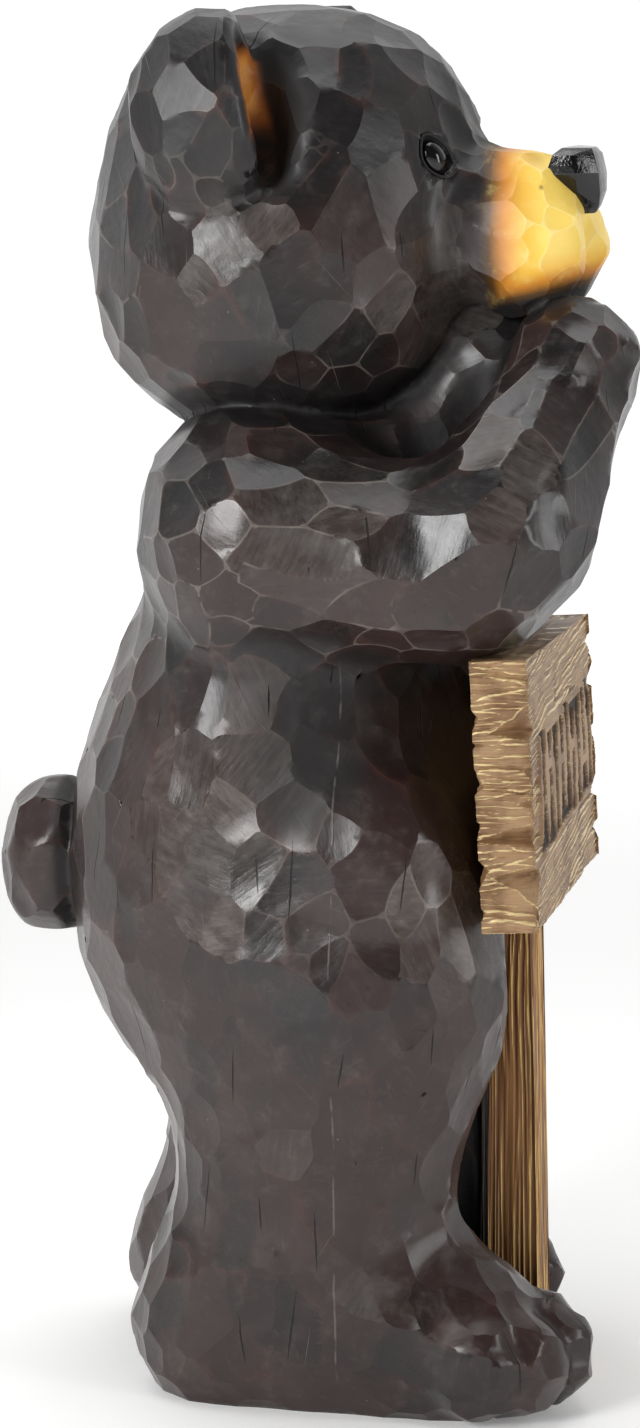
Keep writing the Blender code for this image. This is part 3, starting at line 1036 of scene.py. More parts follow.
# ---- finishes -----------------------------------------------------------------------------------
@dataclass(frozen=True)
class CoatPaint:
    """Black-brown paint in a worn satin gloss, with airbrushed muzzle and ears, painted shade in the
    hollows and painted highlights on groups of cuts.
    """

    black: Triple = (0.0085, 0.0072, 0.0074)
    brown: Triple = (0.027, 0.0135, 0.0125)
    worn: Triple = (0.054, 0.033, 0.030)
    russet: Triple = (0.056, 0.020, 0.015)
    # pale grey of rubbed wear, also used for the painted highlights
    rubbed_and_highlight: Triple = (0.185, 0.158, 0.140)
    crack: Triple = (0.002, 0.002, 0.002)
    scratch: Triple = (0.20, 0.18, 0.16)
    roughness: float = 0.34
    seam_place: float = -0.035

    def material(self) -> bpy.types.Material:
        """The finished material."""
        sheet = Sheet("bear_paint", Coat_Roughness=0.17, Specular_IOR_Level=0.38)
        ridge, tone, height = sheet.attribute("ridge"), sheet.attribute("tone"), sheet.axis("Z")
        blotch = sheet.noise(9.0, 4.0)
        patch = sheet.noise(24.0, 4.0, 0.6)
        mottle = sheet.noise(70.0, 5.0, 0.65)
        brush = sheet.noise((320.0, 42.0, 320.0), 3.0, 0.6, sheet.turned(tone * 37.0))
        # hollow: the form's hollows and the flank's band, which the paint darkens below as painted shade
        hollow = sheet.attribute("hollow") + (blotch - 0.5) * 0.5 + (patch - 0.5) * 0.3
        low = height.rise(0.56, 0.12)

        # painted shade: the crown of the head is painted darker, duller and less worn than the rest
        crown = height.rise(0.655, 0.735)
        warm = blotch + tone * 0.26 + low * 0.20 - crown * 0.22 - 0.22
        colour = sheet.mix(warm.rise(0.28, 0.66), self.black, self.brown)
        faded = patch.rise(0.46, 0.72) * (low * 0.12 + 0.28) * (1.0 - crown)
        colour = sheet.mix(faded, colour, self.worn)
        muzzle, inside = sheet.attribute("muzzle_paint"), sheet.attribute("ear_paint")
        bare = muzzle.rise(-0.05, -0.35) * inside.rise(0.0, -0.5)
        # painted shade: black, duller paint laid into the hollows, the flank's band and the crease just
        # behind the muzzle
        painted_shade = hollow.rise(0.10, 0.50).most(muzzle.rise(-0.95, -0.30) * bare * 0.8)
        colour = sheet.mix(painted_shade * 0.92, colour, self.black)
        stain = ridge.rise(0.0042, 0.0003) * sheet.noise(31.0, 3.0).rise(0.50, 0.70)
        colour = sheet.mix(stain * 0.48, colour, self.russet)
        wear = mottle.rise(0.50, 0.85) * 0.20 + brush.rise(0.55, 0.85) * 0.12
        colour = sheet.mix(wear * (1.0 - crown * 0.7 - painted_shade * 0.3), colour, self.rubbed_and_highlight)
        # painted highlight: groups of cuts painted pale and a little glossier, weaker low down
        sheen = sheet.attribute("sheen") * (0.35 + height.rise(0.16, 0.28) * 0.65)
        paler = 0.14 + mottle.rise(0.35, 0.75) * 0.18 + brush.rise(0.35, 0.75) * 0.24
        colour = sheet.mix(sheen * paler, colour, self.rubbed_and_highlight)
        # pale lines along the ridges: edge wear and painted highlight, stronger in the painted highlights
        line = ridge.rise(0.0009, 0.0003) * sheet.noise(13.0, 3.0).rise(0.49, 0.60)
        line = line * hollow.rise(0.45, 0.15) * patch.rise(0.25, 0.55) * height.rise(0.22, 0.36)
        line = line * (0.45 + sheen * 0.3 - crown * 0.35)
        colour = sheet.mix(line, colour, self.rubbed_and_highlight)
        off_seam = abs(sheet.axis("Y") - self.seam_place + (sheet.noise(20.0, 2.0) - 0.5) * 0.004)
        seam = off_seam.rise(0.0008, 0.0002) * height.rise(0.44, 0.40) * patch.rise(0.46, 0.56)
        colour = sheet.mix(seam * 0.45, colour, self.rubbed_and_highlight)

        colour = self._ears(sheet, colour)
        colour = self._muzzle(sheet, colour, mottle)

        cracks = sheet.slits((0.050, 0.050, 0.088), 0.74, (0.008, 0.027), 0.00055, 0.16) * bare
        scratches = sheet.slits((0.071, 0.071, 0.060), 0.34, (0.006, 0.018), 0.00024, 1.1)
        specks = sheet.node("ShaderNodeTexVoronoi", {"feature": "F1"},
                            {"Vector": sheet.place, "Scale": 46.0, "Randomness": 1.0})
        speck = Value(sheet, specks.outputs["Distance"]).rise(0.032, 0.018)
        colour = sheet.mix(scratches * 0.5, colour, self.scratch)
        colour = sheet.mix(speck * 0.45, colour, self.scratch)
        colour = sheet.mix(cracks, colour, self.crack)

        roughness = (self.roughness + (mottle - 0.5) * 0.26 + (tone - 0.5) * 0.12 + (brush - 0.5) * 0.12
                     + cracks * 0.5 + painted_shade * 0.24 + crown * 0.06 + (1.0 - bare) * 0.10 - sheen * 0.07)
        broad = sheet.noise(42.0, 2.0) - 0.5
        relief = (broad * 1.7 + (brush - 0.5) * 0.34 + (mottle - 0.5) * 0.44 - cracks * 2.0
                  - scratches * 0.4 + seam * 0.3)
        coat = 0.27 - (painted_shade * 0.25).most(crown * 0.12).most((1.0 - bare) * 0.20)
        return sheet.dress(Base_Color=colour, Roughness=roughness, Coat_Weight=coat,
                           Normal=sheet.bump(relief, 0.0005))

    def _ears(self, sheet: Sheet, colour: Input) -> bpy.types.NodeSocket:
        """Lays the orange inside of the ears over a colour."""
        depth = sheet.attribute("ear_paint") + (sheet.noise(60.0, 3.0) - 0.5) * 0.35
        stops = {0.0: self.black, 0.35: (0.07, 0.022, 0.006), 0.65: (0.34, 0.10, 0.010),
                 1.0: (0.62, 0.27, 0.04)}
        return sheet.mix(depth.rise(0.05, 0.35), colour, sheet.ramp(depth, stops))

    def _muzzle(self, sheet: Sheet, colour: Input, mottle: Value) -> bpy.types.NodeSocket:
        """Lays the airbrushed muzzle over a colour."""
        forward = sheet.attribute("muzzle_paint") + (sheet.noise(24.0, 3.0) - 0.5) * 0.26
        stops = {0.0: (0.012, 0.009, 0.008), 0.20: (0.09, 0.040, 0.010), 0.42: (0.60, 0.23, 0.020),
                 0.66: (0.88, 0.50, 0.065), 1.0: (0.94, 0.67, 0.135)}
        paint = sheet.ramp(forward, stops)
        paint = sheet.mix(mottle.rise(0.50, 0.78) * 0.30, paint, (0.96, 0.79, 0.30))
        # pale lines along the muzzle's ridges: edge wear and painted highlight
        line = sheet.attribute("ridge").rise(0.0009, 0.0) * forward.rise(0.5, 0.8)
        paint = sheet.mix(line * 0.35, paint, (0.97, 0.82, 0.44))
        return sheet.mix(forward.rise(0.0, 0.18), colour, paint)


@dataclass(frozen=True)
class BeadGloss:
    """Black gloss of the nose and the eyes."""

    colour: Triple = (0.0035, 0.0033, 0.0040)
    smeared: Triple = (0.014, 0.012, 0.013)
    roughness: float = 0.05
    ripple: float = 0.00015

    def material(self, name: str) -> bpy.types.Material:
        """The finished material."""
        sheet = Sheet(name, Coat_Weight=0.2, Coat_Roughness=0.04, Specular_IOR_Level=0.4)
        smear = sheet.noise(170.0, 4.0, 0.6)
        colour = sheet.mix(smear.rise(0.45, 0.8) * 0.4, self.colour, self.smeared)
        relief = sheet.noise(150.0, 4.0, 0.62) - 0.5
        return sheet.dress(Base_Color=colour, Roughness=self.roughness + smear * 0.08,
                           Normal=sheet.bump(relief, self.ripple))


@dataclass(frozen=True)
class BoardPaint:
    """Tan-brown paint with gold dry-brushed on the crests, and dark strokes."""

    tan: Triple = (0.360, 0.220, 0.108)
    brown: Triple = (0.210, 0.110, 0.047)
    deep: Triple = (0.040, 0.017, 0.008)
    gold: Triple = (0.80, 0.63, 0.33)
    ink: Triple = (0.017, 0.012, 0.011)

    def material(self) -> bpy.types.Material:
        """The finished material."""
        sheet = Sheet("board_paint")
        crest, stroke = sheet.attribute("crest"), sheet.attribute("stroke")
        cleft, chipped = sheet.attribute("cleft"), sheet.attribute("chipped")
        wash = sheet.noise(38.0, 4.0)
        fine = sheet.noise((14.0, 60.0, 1300.0), 4.0, 0.65)
        colour = sheet.mix(wash.rise(0.36, 0.60), self.brown, self.tan)
        grooves = fine.rise(0.46, 0.30) * (1.0 - chipped * 0.8)
        colour = sheet.mix((cleft + grooves * 0.50).least(1.0), colour, self.deep)
        worn = sheet.noise((16.0, 70.0, 120.0), 3.0).rise(0.20, 0.38)
        gilding = (crest + (fine - 0.5) * (1.9 - chipped * 1.5)).rise(0.46, 1.0) * worn * (1.0 - stroke)
        inked = stroke * (sheet.noise((90.0, 90.0, 60.0), 2.0).rise(0.20, 0.34) * 0.96)
        colour = sheet.mix(inked, colour, self.ink)
        colour = sheet.mix(gilding * 0.88, colour, self.gold)
        roughness = 0.50 - gilding * 0.16 + (fine - 0.5) * 0.2 + stroke * 0.28
        return sheet.dress(Base_Color=colour, Roughness=roughness, Metallic=gilding * 0.45,
                           Normal=sheet.bump(fine, 0.0007))


@dataclass(frozen=True)
class PostPaint:
    """Brown paint with gold dry-brushed up the grain, and black overspray behind."""

    brown: Triple = (0.36, 0.165, 0.050)
    umber: Triple = (0.17, 0.070, 0.019)
    gold: Triple = (0.84, 0.57, 0.20)
    black: Triple = (0.012, 0.010, 0.009)

    def material(self) -> bpy.types.Material:
        """The finished material."""
        sheet = Sheet("post_paint")
        crest, spray = sheet.attribute("crest"), sheet.attribute("spray")
        wash = sheet.noise((70.0, 70.0, 9.0), 4.0)
        fine = sheet.noise((1100.0, 1100.0, 26.0), 4.0, 0.65)
        colour = sheet.mix((wash + crest * 0.4).rise(0.40, 0.80), self.umber, self.brown)
        worn = sheet.noise((90.0, 90.0, 14.0)).rise(0.30, 0.50)
        gilding = (crest + (fine - 0.5) * 1.5).rise(0.35, 0.85) * worn
        colour = sheet.mix(gilding * 0.8, colour, self.gold)
        dark = (spray + (wash - 0.5) * 0.5).rise(0.35, 0.62)
        colour = sheet.mix(dark * 0.96, colour, self.black)
        gilding = gilding * (1.0 - dark)
        return sheet.dress(Base_Color=colour, Roughness=0.50 - gilding * 0.14 + (fine - 0.5) * 0.2,
                           Metallic=gilding * 0.35, Normal=sheet.bump(fine, 0.0005))


# ---- the bear -----------------------------------------------------------------------------------
WELD = 1e-5     # points closer than this are one


@dataclass(frozen=True)
class SignPlaces:
    """Where the board and the post stand, in the sculpting frame."""

    board_size: Triple = (0.275, 0.0345, 0.150)
    board_centre: Triple = (0.0, -0.1298, 0.362)
    board_lean: float = 3.1
    post_width: float = 0.045
    post_back: float = -0.1005
    post_front_top: float = -0.128
    post_front_foot: float = -0.1375
    post_top: float = 0.400
    post_flare: float = 0.006

    def board_turn(self) -> Matrix:
        """Rotation from the board's frame to the bear's."""
        return Euler((radians(-self.board_lean), 0, 0)).to_matrix()

    def distance(self, points: Array) -> Array:
        """Distance to the room that the board and the post take up."""
        local = (points - np.float32(self.board_centre)) @ np.float32(self.board_turn())
        board = slab(local, (0, 0, 0), tuple(side / 2 + 0.0006 for side in self.board_size), 0.0005)
        middle = (0, (self.post_back + self.post_front_foot) / 2, self.post_top / 2 - 0.02)
        half = (self.post_width / 2 + 0.001, (self.post_back - self.post_front_foot) / 2 + 0.0006,
                self.post_top / 2 + 0.02)
        return np.minimum(board, slab(points, middle, half, 0.0005))


@dataclass(frozen=True)
class Airbrush:
    """Where the paint of the muzzle and the ears starts and how softly, in the head's frame."""

    muzzle_start: float = -0.1195   # y on the middle line
    muzzle_slant: float = 0.25      # how fast the start moves with x
    muzzle_fade: float = 0.039
    chin: tuple[float, float] = (-0.150, -0.046)    # y and z of a point on the lower limit
    chin_slope: float = 0.22
    chin_fade: float = 0.026
    paw_fade: float = 0.004
    cup_wall: float = 0.0085        # the ears' paint reaches this far out of their hollows
    cup_fade: float = 0.0045
    mouth_depth: float = 0.007      # and this far behind their flat fronts
    mouth_fade: float = 0.011
    ear_foot: tuple[float, float] = (0.046, 0.024)  # z where it starts, and its fade
    ear_tip: tuple[float, float] = (0.106, 0.014)   # z where it ends, and its fade

    def muzzle(self, local: Array, off_paws: Array) -> Array:
        """How far points lie into the muzzle's paint.

        Args:
            local: Points in the head's frame.
            off_paws: How much farther off the paws are than the head; negative on a paw.

        Returns:
            From -1 outside to 1 where the paint is full.
        """
        forward = self.muzzle_start + self.muzzle_slant * mirrored(local)[:, 0] - local[:, 1]
        up = local[:, 2] - self.chin[1] + self.chin_slope * (local[:, 1] - self.chin[0])
        inside = np.minimum(forward / self.muzzle_fade, up / self.chin_fade)
        return np.clip(np.minimum(inside, off_paws / self.paw_fade), -1, 1)

    def ears(self, local: Array, head: Head) -> Array:
        """How far points lie into the ears' paint.

        Args:
            local: Points in the head's frame.
            head: The head.

        Returns:
            From -1 outside to 1 where the paint is full.
        """
        pair = mirrored(local)
        cup = (self.cup_wall - head.cup_form(pair)) / self.cup_fade
        behind = (half_space(pair, *head.ear_mouth) + self.mouth_depth) / self.mouth_fade
        tall = np.minimum((local[:, 2] - self.ear_foot[0]) / self.ear_foot[1],
                          (self.ear_tip[0] - local[:, 2]) / self.ear_tip[1])
        return np.clip(np.minimum(np.minimum(cup, behind), tall), -1, 1)


@dataclass(frozen=True)
class BearCoat:
    """The bear's gouged and painted skin."""

    bear: BearForm
    places: SignPlaces
    grid: Grid = Grid()
    airbrush: Airbrush = Airbrush()
    fine_cell: float = 0.0037       # of the skin's own net
    crease: float = 7.0
    worn: float = 3.5
    probes: tuple[float, ...] = (0.014, 0.034)      # how far out the open room around a place is felt
    flank_shade: tuple[float, ...] = (-0.012, 0.385, 0.030, 0.055)    # y, z and reach of the painted shade on the flank under the arm
    flank_shade_strength: float = 0.45
    seat_fade: float = 0.004        # the cuts end this far from the sign
    highlight_zones: tuple[tuple[float, ...], ...] = (       # y, z and reach of the groups of cuts painted paler as painted highlights
        (0.0284, 0.660, 0.026, 0.026),              # behind the cheek
        (-0.080, 0.630, 0.024, 0.026),              # under the eye
        (-0.022, 0.509, 0.042, 0.026),              # upper arm
        (-0.130, 0.530, 0.022, 0.030),              # forearm
        (0.036, 0.335, 0.046, 0.062),               # hip
        (-0.083, 0.299, 0.024, 0.038),              # front of the thigh
        (0.004, 0.161, 0.026, 0.018),               # heel
        (-0.054, 0.078, 0.024, 0.024),              # instep
    )

    def form(self, points: Array) -> Array:
        """Distance to the bear without its beads, cut by the sign."""
        return carve(self.bear.whole(points, False), self.places.distance(points), 0.0006)

    def build(self) -> bpy.types.Mesh:
        """Makes the skin.

        Returns:
            A closed mesh with the attributes that its paint reads.
        """
        gouges = Gouges()
        whole = self.bear.whole
        gouges.scatter(whole, self.grid.net(whole, self.grid.sampled(whole))[0])
        fine, samples = self.grid.finer(self.form, self.grid.sampled(self.form), self.fine_cell)
        points, quads = fine.net(self.form, samples)
        log.info("net of %d faces under %d gouge cuts", len(quads), len(gouges.centres))
        fade = np.clip(self.places.distance(points) / self.seat_fade, 0, 1)
        points, ridge = gouges.cut(self.form, points, fine.cell, fade)
        faces = split_quads(points, quads, ridge)
        mesh = bpy.data.meshes.new("bear_coat")
        mesh.from_pydata((points + np.float32(STAND_OFFSET)).tolist(), [], faces.tolist())
        store(mesh, "ridge", ridge)
        tones = np.random.default_rng(3).uniform(0, 1, len(gouges.centres))
        owner = gouges.owner(points[faces].mean(1))
        store(mesh, "tone", tones[owner], "FACE")
        store(mesh, "sheen", self._highlight_shares(gouges.centres)[owner], "FACE")
        self._stand_flat(mesh)
        values = np.empty(len(mesh.vertices), np.float32)
        mesh.attributes["ridge"].data.foreach_get("value", values)
        mark_creases(mesh, self.crease, values, self.worn)
        self._store_paint(mesh)
        return mesh

    def _highlight_shares(self, centres: Array) -> Array:
        """How strongly each gouge cut is painted paler than the rest, as a painted highlight.

        Args:
            centres: The middles of the cuts.

        Returns:
            A number from nought to one for each cut.
        """
        sheen = np.zeros(len(centres))
        for y, z, reach_y, reach_z in self.highlight_zones:
            away = ((centres[:, 1] - y) / reach_y) ** 2 + ((centres[:, 2] - z) / reach_z) ** 2
            sheen = np.maximum(sheen, np.clip(1.5 - away, 0, 1))
        return sheen * np.random.default_rng(8).uniform(0.4, 1.0, len(centres))

    @staticmethod
    def _stand_flat(mesh: bpy.types.Mesh) -> None:
        """Cuts the mesh flat at the ground and closes the soles."""
        shell = bmesh.new()
        shell.from_mesh(mesh)
        everything = shell.verts[:] + shell.edges[:] + shell.faces[:]
        bmesh.ops.bisect_plane(shell, geom=everything, dist=WELD, plane_co=(0, 0, 0),
                               plane_no=(0, 0, -1), clear_outer=True)
        rim = [edge for edge in shell.edges if edge.is_boundary]
        for vertex in {vertex for edge in rim for vertex in edge.verts}:
            vertex.co.z = 0
        soles = bmesh.ops.holes_fill(shell, edges=rim)["faces"]
        bmesh.ops.triangulate(shell, faces=soles)
        bmesh.ops.dissolve_degenerate(shell, dist=WELD, edges=shell.edges[:])
        bmesh.ops.recalc_face_normals(shell, faces=shell.faces[:])
        shell.to_mesh(mesh)
        shell.free()

    def _store_paint(self, mesh: bpy.types.Mesh) -> None:
        """Stores how hollow the form is at each point, with the flank's band added, for the paint's
        painted shade, and how far it lies into the bright paint.
        """
        points = np.empty(3 * len(mesh.vertices), np.float32)
        mesh.vertices.foreach_get("co", points)
        points = points.reshape(-1, 3) - np.float32(STAND_OFFSET)
        around = partial(self.bear.whole, beads=False)
        out = unit(slope_of(around, points))
        # how much the room around each point is closed in; the paint darkens it as painted shade
        hollow = sum(1 - around(points + out * np.float32(reach)) / reach for reach in self.probes)
        hollow /= len(self.probes)
        # painted shade: a band on the flank under the arm is added to the hollows, which the paint
        # darkens
        y, z, reach_y, reach_z = self.flank_shade
        away = ((points[:, 1] - y) / reach_y) ** 2, ((points[:, 2] - z) / reach_z) ** 2
        hollow += self.flank_shade_strength * np.exp(-away[0] - away[1])
        store(mesh, "hollow", np.clip(hollow, -1, 1))
        head, limbs = self.bear.head, self.bear.limbs
        local = head.local(points)
        paws = np.minimum(*(limbs.arm_form(points, side) for side in Side))
        off_paws = paws - head.form(points, False)
        store(mesh, "muzzle_paint", self.airbrush.muzzle(local, off_paws))
        store(mesh, "ear_paint", self.airbrush.ears(local, head))

    def dress(self) -> bpy.types.Object:
        """Builds and paints the skin, and hides the plain solid that it stands for."""
        piece = add_piece("bear_coat", self.build(), CoatPaint().material())
        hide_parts("bear")
        return piece


@dataclass(frozen=True)
class Nose:
    """A black block, cut to flat faces, that narrows to the lip."""

    head: Head
    rings: tuple[tuple[float, float, float, float], ...] = (   # height, half width, back, reach
        (0.0165, 0.0120, 0.1705, 0.1855),
        (0.0130, 0.0185, 0.1660, 0.1885),
        (0.0020, 0.0190, 0.1620, 0.1905),
        (-0.0085, 0.0130, 0.1620, 0.1905),
        (-0.0165, 0.0065, 0.1650, 0.1885),
        (-0.0205, 0.0025, 0.1700, 0.1860),
    )
    edge: float = 0.0007
    side_stop: float = 0.011        # the sides stop this far short of the front face
    front_share: float = 0.50       # width of the front face, as a share of the block's
    jitter: float = 0.0006

    def build(self) -> bpy.types.Mesh:
        """The block, hulled over its rings."""
        block = bmesh.new()
        middle = self.head.nose[0][2]
        dice = np.random.default_rng(5)
        for height, half, back, reach in self.rings:
            narrow, side = half * self.front_share, reach - self.side_stop
            for x, y in ((-half, back), (-half, side), (-narrow, reach), (narrow, reach),
                         (half, side), (half, back)):
                shift = dice.uniform(-self.jitter, self.jitter, 3)
                block.verts.new((x + shift[0], -y + shift[1], middle + height + shift[2]))
        bmesh.ops.convex_hull(block, input=block.verts)
        bmesh.ops.dissolve_limit(block, angle_limit=radians(7), verts=block.verts, edges=block.edges)
        bmesh.ops.bevel(block, geom=block.edges[:], offset=self.edge, segments=2, affect="EDGES",
                        profile=0.6)
        bmesh.ops.triangulate(block, faces=block.faces[:])
        mesh = bpy.data.meshes.new("nose")
        block.to_mesh(mesh)
        block.free()
        mesh.transform(self.head.placed())
        mark_creases(mesh, 14.0)
        return mesh

    def dress(self) -> bpy.types.Object:
        """Builds and paints the nose."""
        gloss = BeadGloss(ripple=0.0007).material("nose_gloss")
        return add_piece("nose", self.build(), gloss)


@dataclass(frozen=True)
class Eye:
    """A glossy bead in a carved opening with a thin lip."""

    head: Head
    side: Side
    skin: BVHTree
    bead: Triple = (0.0080, 0.0112, 0.0078)
    bead_place: Triple = (0.0006, -0.0014, -0.0056)
    lip: float = 0.0006
    pointed: float = 0.16       # how much the almond narrows toward its two ends
    beyond: float = 0.0022      # how far outside the opening the skin's height is felt
    around: int = 60
    over: int = 8

    def _frame(self) -> Matrix:
        """The eye's frame in the room."""
        placed = Matrix.Translation(self.head.eye_place) @ self.head.eye_turn().to_4x4()
        if self.side is Side.LEFT:
            placed = Matrix.Scale(-1, 4, (1, 0, 0)) @ placed
        return self.head.placed() @ placed

    def _outline(self, angle: float, grow: float = 0.0) -> tuple[float, float]:
        """A point of the almond, which is pointed a little at its two ends."""
        width, height = self.head.opening[0] + grow, self.head.opening[1] + grow
        return width * cos(angle) * (1 - self.pointed * sin(angle) ** 2), height * sin(angle)

    def _skin_heights(self) -> Array:
        """How far out the skin lies just beyond the opening, all the way round."""
        frame = self._frame()
        heights = []
        for step in range(self.around):
            x, y = self._outline(2 * pi * step / self.around, self.beyond)
            inward = frame.to_3x3() @ Vector((0, 0, -1))
            found = self.skin.ray_cast(frame @ Vector((x, y, 0.03)), inward)[0]
            heights.append((frame.inverted() @ found).z if found else 0.0)
        return sum(np.roll(heights, shift) for shift in range(-3, 4)) / 7

    def build_bead(self) -> bpy.types.Mesh:
        """The glossy bead, bulging from the almond."""
        bead = bmesh.new()
        bmesh.ops.create_uvsphere(bead, u_segments=40, v_segments=24, radius=1.0)
        bmesh.ops.scale(bead, vec=self.bead, verts=bead.verts)
        depth = Vector((0, 0, float(self._skin_heights().mean())))
        bmesh.ops.translate(bead, vec=Vector(self.bead_place) + depth, verts=bead.verts)
        return self._placed(bead, f"eye_{self.side.name.lower()}")

    def build_lid(self) -> bpy.types.Mesh:
        """The thin lip around the opening, laid on the skin."""
        rim = bmesh.new()
        loops = []
        for step, height in enumerate(self._skin_heights()):
            angle = 2 * pi * step / self.around
            x, y = self._outline(angle)
            ahead, behind = self._outline(angle + 0.02), self._outline(angle - 0.02)
            along = Vector((ahead[0] - behind[0], ahead[1] - behind[1], 0)).normalized()
            outward = Vector((along.y, -along.x, 0))
            heavy = self.lip * (1.0 + 0.30 * sin(angle) + 0.12 * sin(3 * angle + 1))
            loop = []
            for turn in range(self.over):
                around = 2 * pi * turn / self.over
                offset = outward * (cos(around) * heavy * 1.3) + Vector((0, 0, sin(around) * heavy))
                loop.append(rim.verts.new(Vector((x, y, height - heavy * 0.35)) + offset))
            loops.append(loop)
        for first, second in zip(loops, loops[1:] + loops[:1]):
            for k in range(self.over):
                after = (k + 1) % self.over
                rim.faces.new((first[k], second[k], second[after], first[after]))
        return self._placed(rim, f"eyelid_{self.side.name.lower()}")

    def _placed(self, shape: bmesh.types.BMesh, name: str) -> bpy.types.Mesh:
        """Puts a shape into the eye's frame.

        Args:
            shape: The shape about the eye's middle.
            name: The mesh's name.

        Returns:
            The mesh.
        """
        bmesh.ops.transform(shape, matrix=self._frame(), verts=shape.verts)
        bmesh.ops.recalc_face_normals(shape, faces=shape.faces)
        mesh = bpy.data.meshes.new(name)
        shape.to_mesh(mesh)
        shape.free()
        mesh.shade_smooth()
        return mesh

    def dress(self, gloss: bpy.types.Material, coat: bpy.types.Material) -> None:
        """Builds and paints the bead and the lip around it."""
        bead, lid = self.build_bead(), self.build_lid()
        # the lip reads as a deep hollow, so the coat paints it dark as painted shade
        levels = {"ridge": 0.02, "hollow": 0.8, "muzzle_paint": -1.0, "ear_paint": -1.0}
        for name, level in levels.items():
            store(lid, name, np.full(len(lid.vertices), level))
        store(lid, "tone", np.full(len(lid.polygons), 0.3), "FACE")
        add_piece(bead.name, bead, gloss)
        add_piece(lid.name, lid, coat)


# ---- the sign -----------------------------------------------------------------------------------
def grain(places: Array, scale: Triple, seed: float) -> Array:
    """Smooth noise between -1 and 1.

    Args:
        places: Points, one to a row.
        scale: Blotches per metre on each axis.
        seed: Moves the noise to another place.

    Returns:
        One number for each point.
    """
    stretched = places * np.array(scale) + seed
    return np.array([noise.noise(point) for point in stretched.tolist()])


def ridged(values: Array) -> Array:
    """Noise folded into sharp crests: one at a crest, nought in a valley."""
    return 1.0 - np.minimum(np.abs(values) * 2.2, 1.0)


def smoothed(table: Array, reach: int, axis: int) -> Array:
    """Running mean of a table along one axis."""
    padding = [(reach, reach) if k == axis else (0, 0) for k in range(table.ndim)]
    sums = np.cumsum(np.pad(table, padding, mode="symmetric"), axis)
    width = 2 * reach
    return (np.take(sums, range(width, sums.shape[axis]), axis)
            - np.take(sums, range(0, sums.shape[axis] - width), axis)) / width


def lofted(name: str, levels: list[list[Triple]]) -> bpy.types.Mesh:
    """A closed skin over loops of points that lie one above the other.

    Args:
        name: The mesh's name.
        levels: The loops, each anticlockwise seen from above, from the lowest up.

    Returns:
        The mesh, closed by a face at each end.
    """
    count = len(levels[0])
    points = [point for level in levels for point in level]
    last = (len(levels) - 1) * count
    faces = [(row + k, row + (k + 1) % count, row + count + (k + 1) % count, row + count + k)
             for row in range(0, last, count) for k in range(count)]
    faces += [tuple(range(count))[::-1], tuple(range(last, last + count))]
    mesh = bpy.data.meshes.new(name)
    mesh.from_pydata(points, [], faces)
    return mesh


@dataclass(frozen=True)
class Hewn:
    """A bar or plank with hewn sides, lofted upward loop by loop.

    The loop runs once round the plan, starting at the back on the near side: near side, front,
    far side, back.  Each of its places has a plan position, an outward direction and a zone.
    """

    half_width: float
    half_depth: float
    low: float
    high: float
    counts: tuple[int, int, int]        # places along a side, the front, the back
    levels: int

    def plan(self) -> tuple[Array, Array, Array]:
        """The loop's plan positions, outward directions and zone (0 near, 1 front, 2 far, 3 back)."""
        width, depth = self.half_width, self.half_depth
        side, front, back = self.counts
        stretches = (((-width, depth), (-width, -depth), side),
                     ((-width, -depth), (width, -depth), front),
                     ((width, -depth), (width, depth), side),
                     ((width, depth), (-width, depth), back))
        places, outward, zones = [], [], []
        for zone, (start, end, count) in enumerate(stretches):
            start, end = np.array(start), np.array(end)
            direction = (end - start) / np.linalg.norm(end - start)
            normal = np.array((direction[1], -direction[0]))
            for k in range(count):
                places.append(start + (end - start) * k / count)
                outward.append(normal)
                zones.append(zone)
        outward = np.array(outward)
        blended = outward * 2 + np.roll(outward, 1, 0) + np.roll(outward, -1, 0)
        outward = blended / np.linalg.norm(blended, axis=1, keepdims=True)
        return np.array(places), outward, np.array(zones)

    def walls(self) -> tuple[Array, Array, Array, Array]:
        """The plan, the outward directions, the zones, and the plain skin's points level by level."""
        plan, outward, zones = self.plan()
        rise = np.linspace(self.low, self.high, self.levels)
        skin = np.stack([np.concatenate([plan, np.full((len(plan), 1), z)], 1) for z in rise])
        return plan, outward, zones, skin


class Edge(Enum):
    """An upright edge of the board, by the signs of x and y there."""

    NEAR_FRONT = (-1, -1)
    NEAR_BACK = (-1, 1)
    FAR_FRONT = (1, -1)


@dataclass(frozen=True)
class Chip:
    """A flat-floored chip off an upright edge of the board, widest at the edge."""

    edge: Edge
    height: float           # its deepest line, over the board's middle
    above: float            # how far it opens above that line at the edge
    below: float
    along_side: float       # how far it reaches over the side
    along_face: float       # how far it reaches over the front or the back


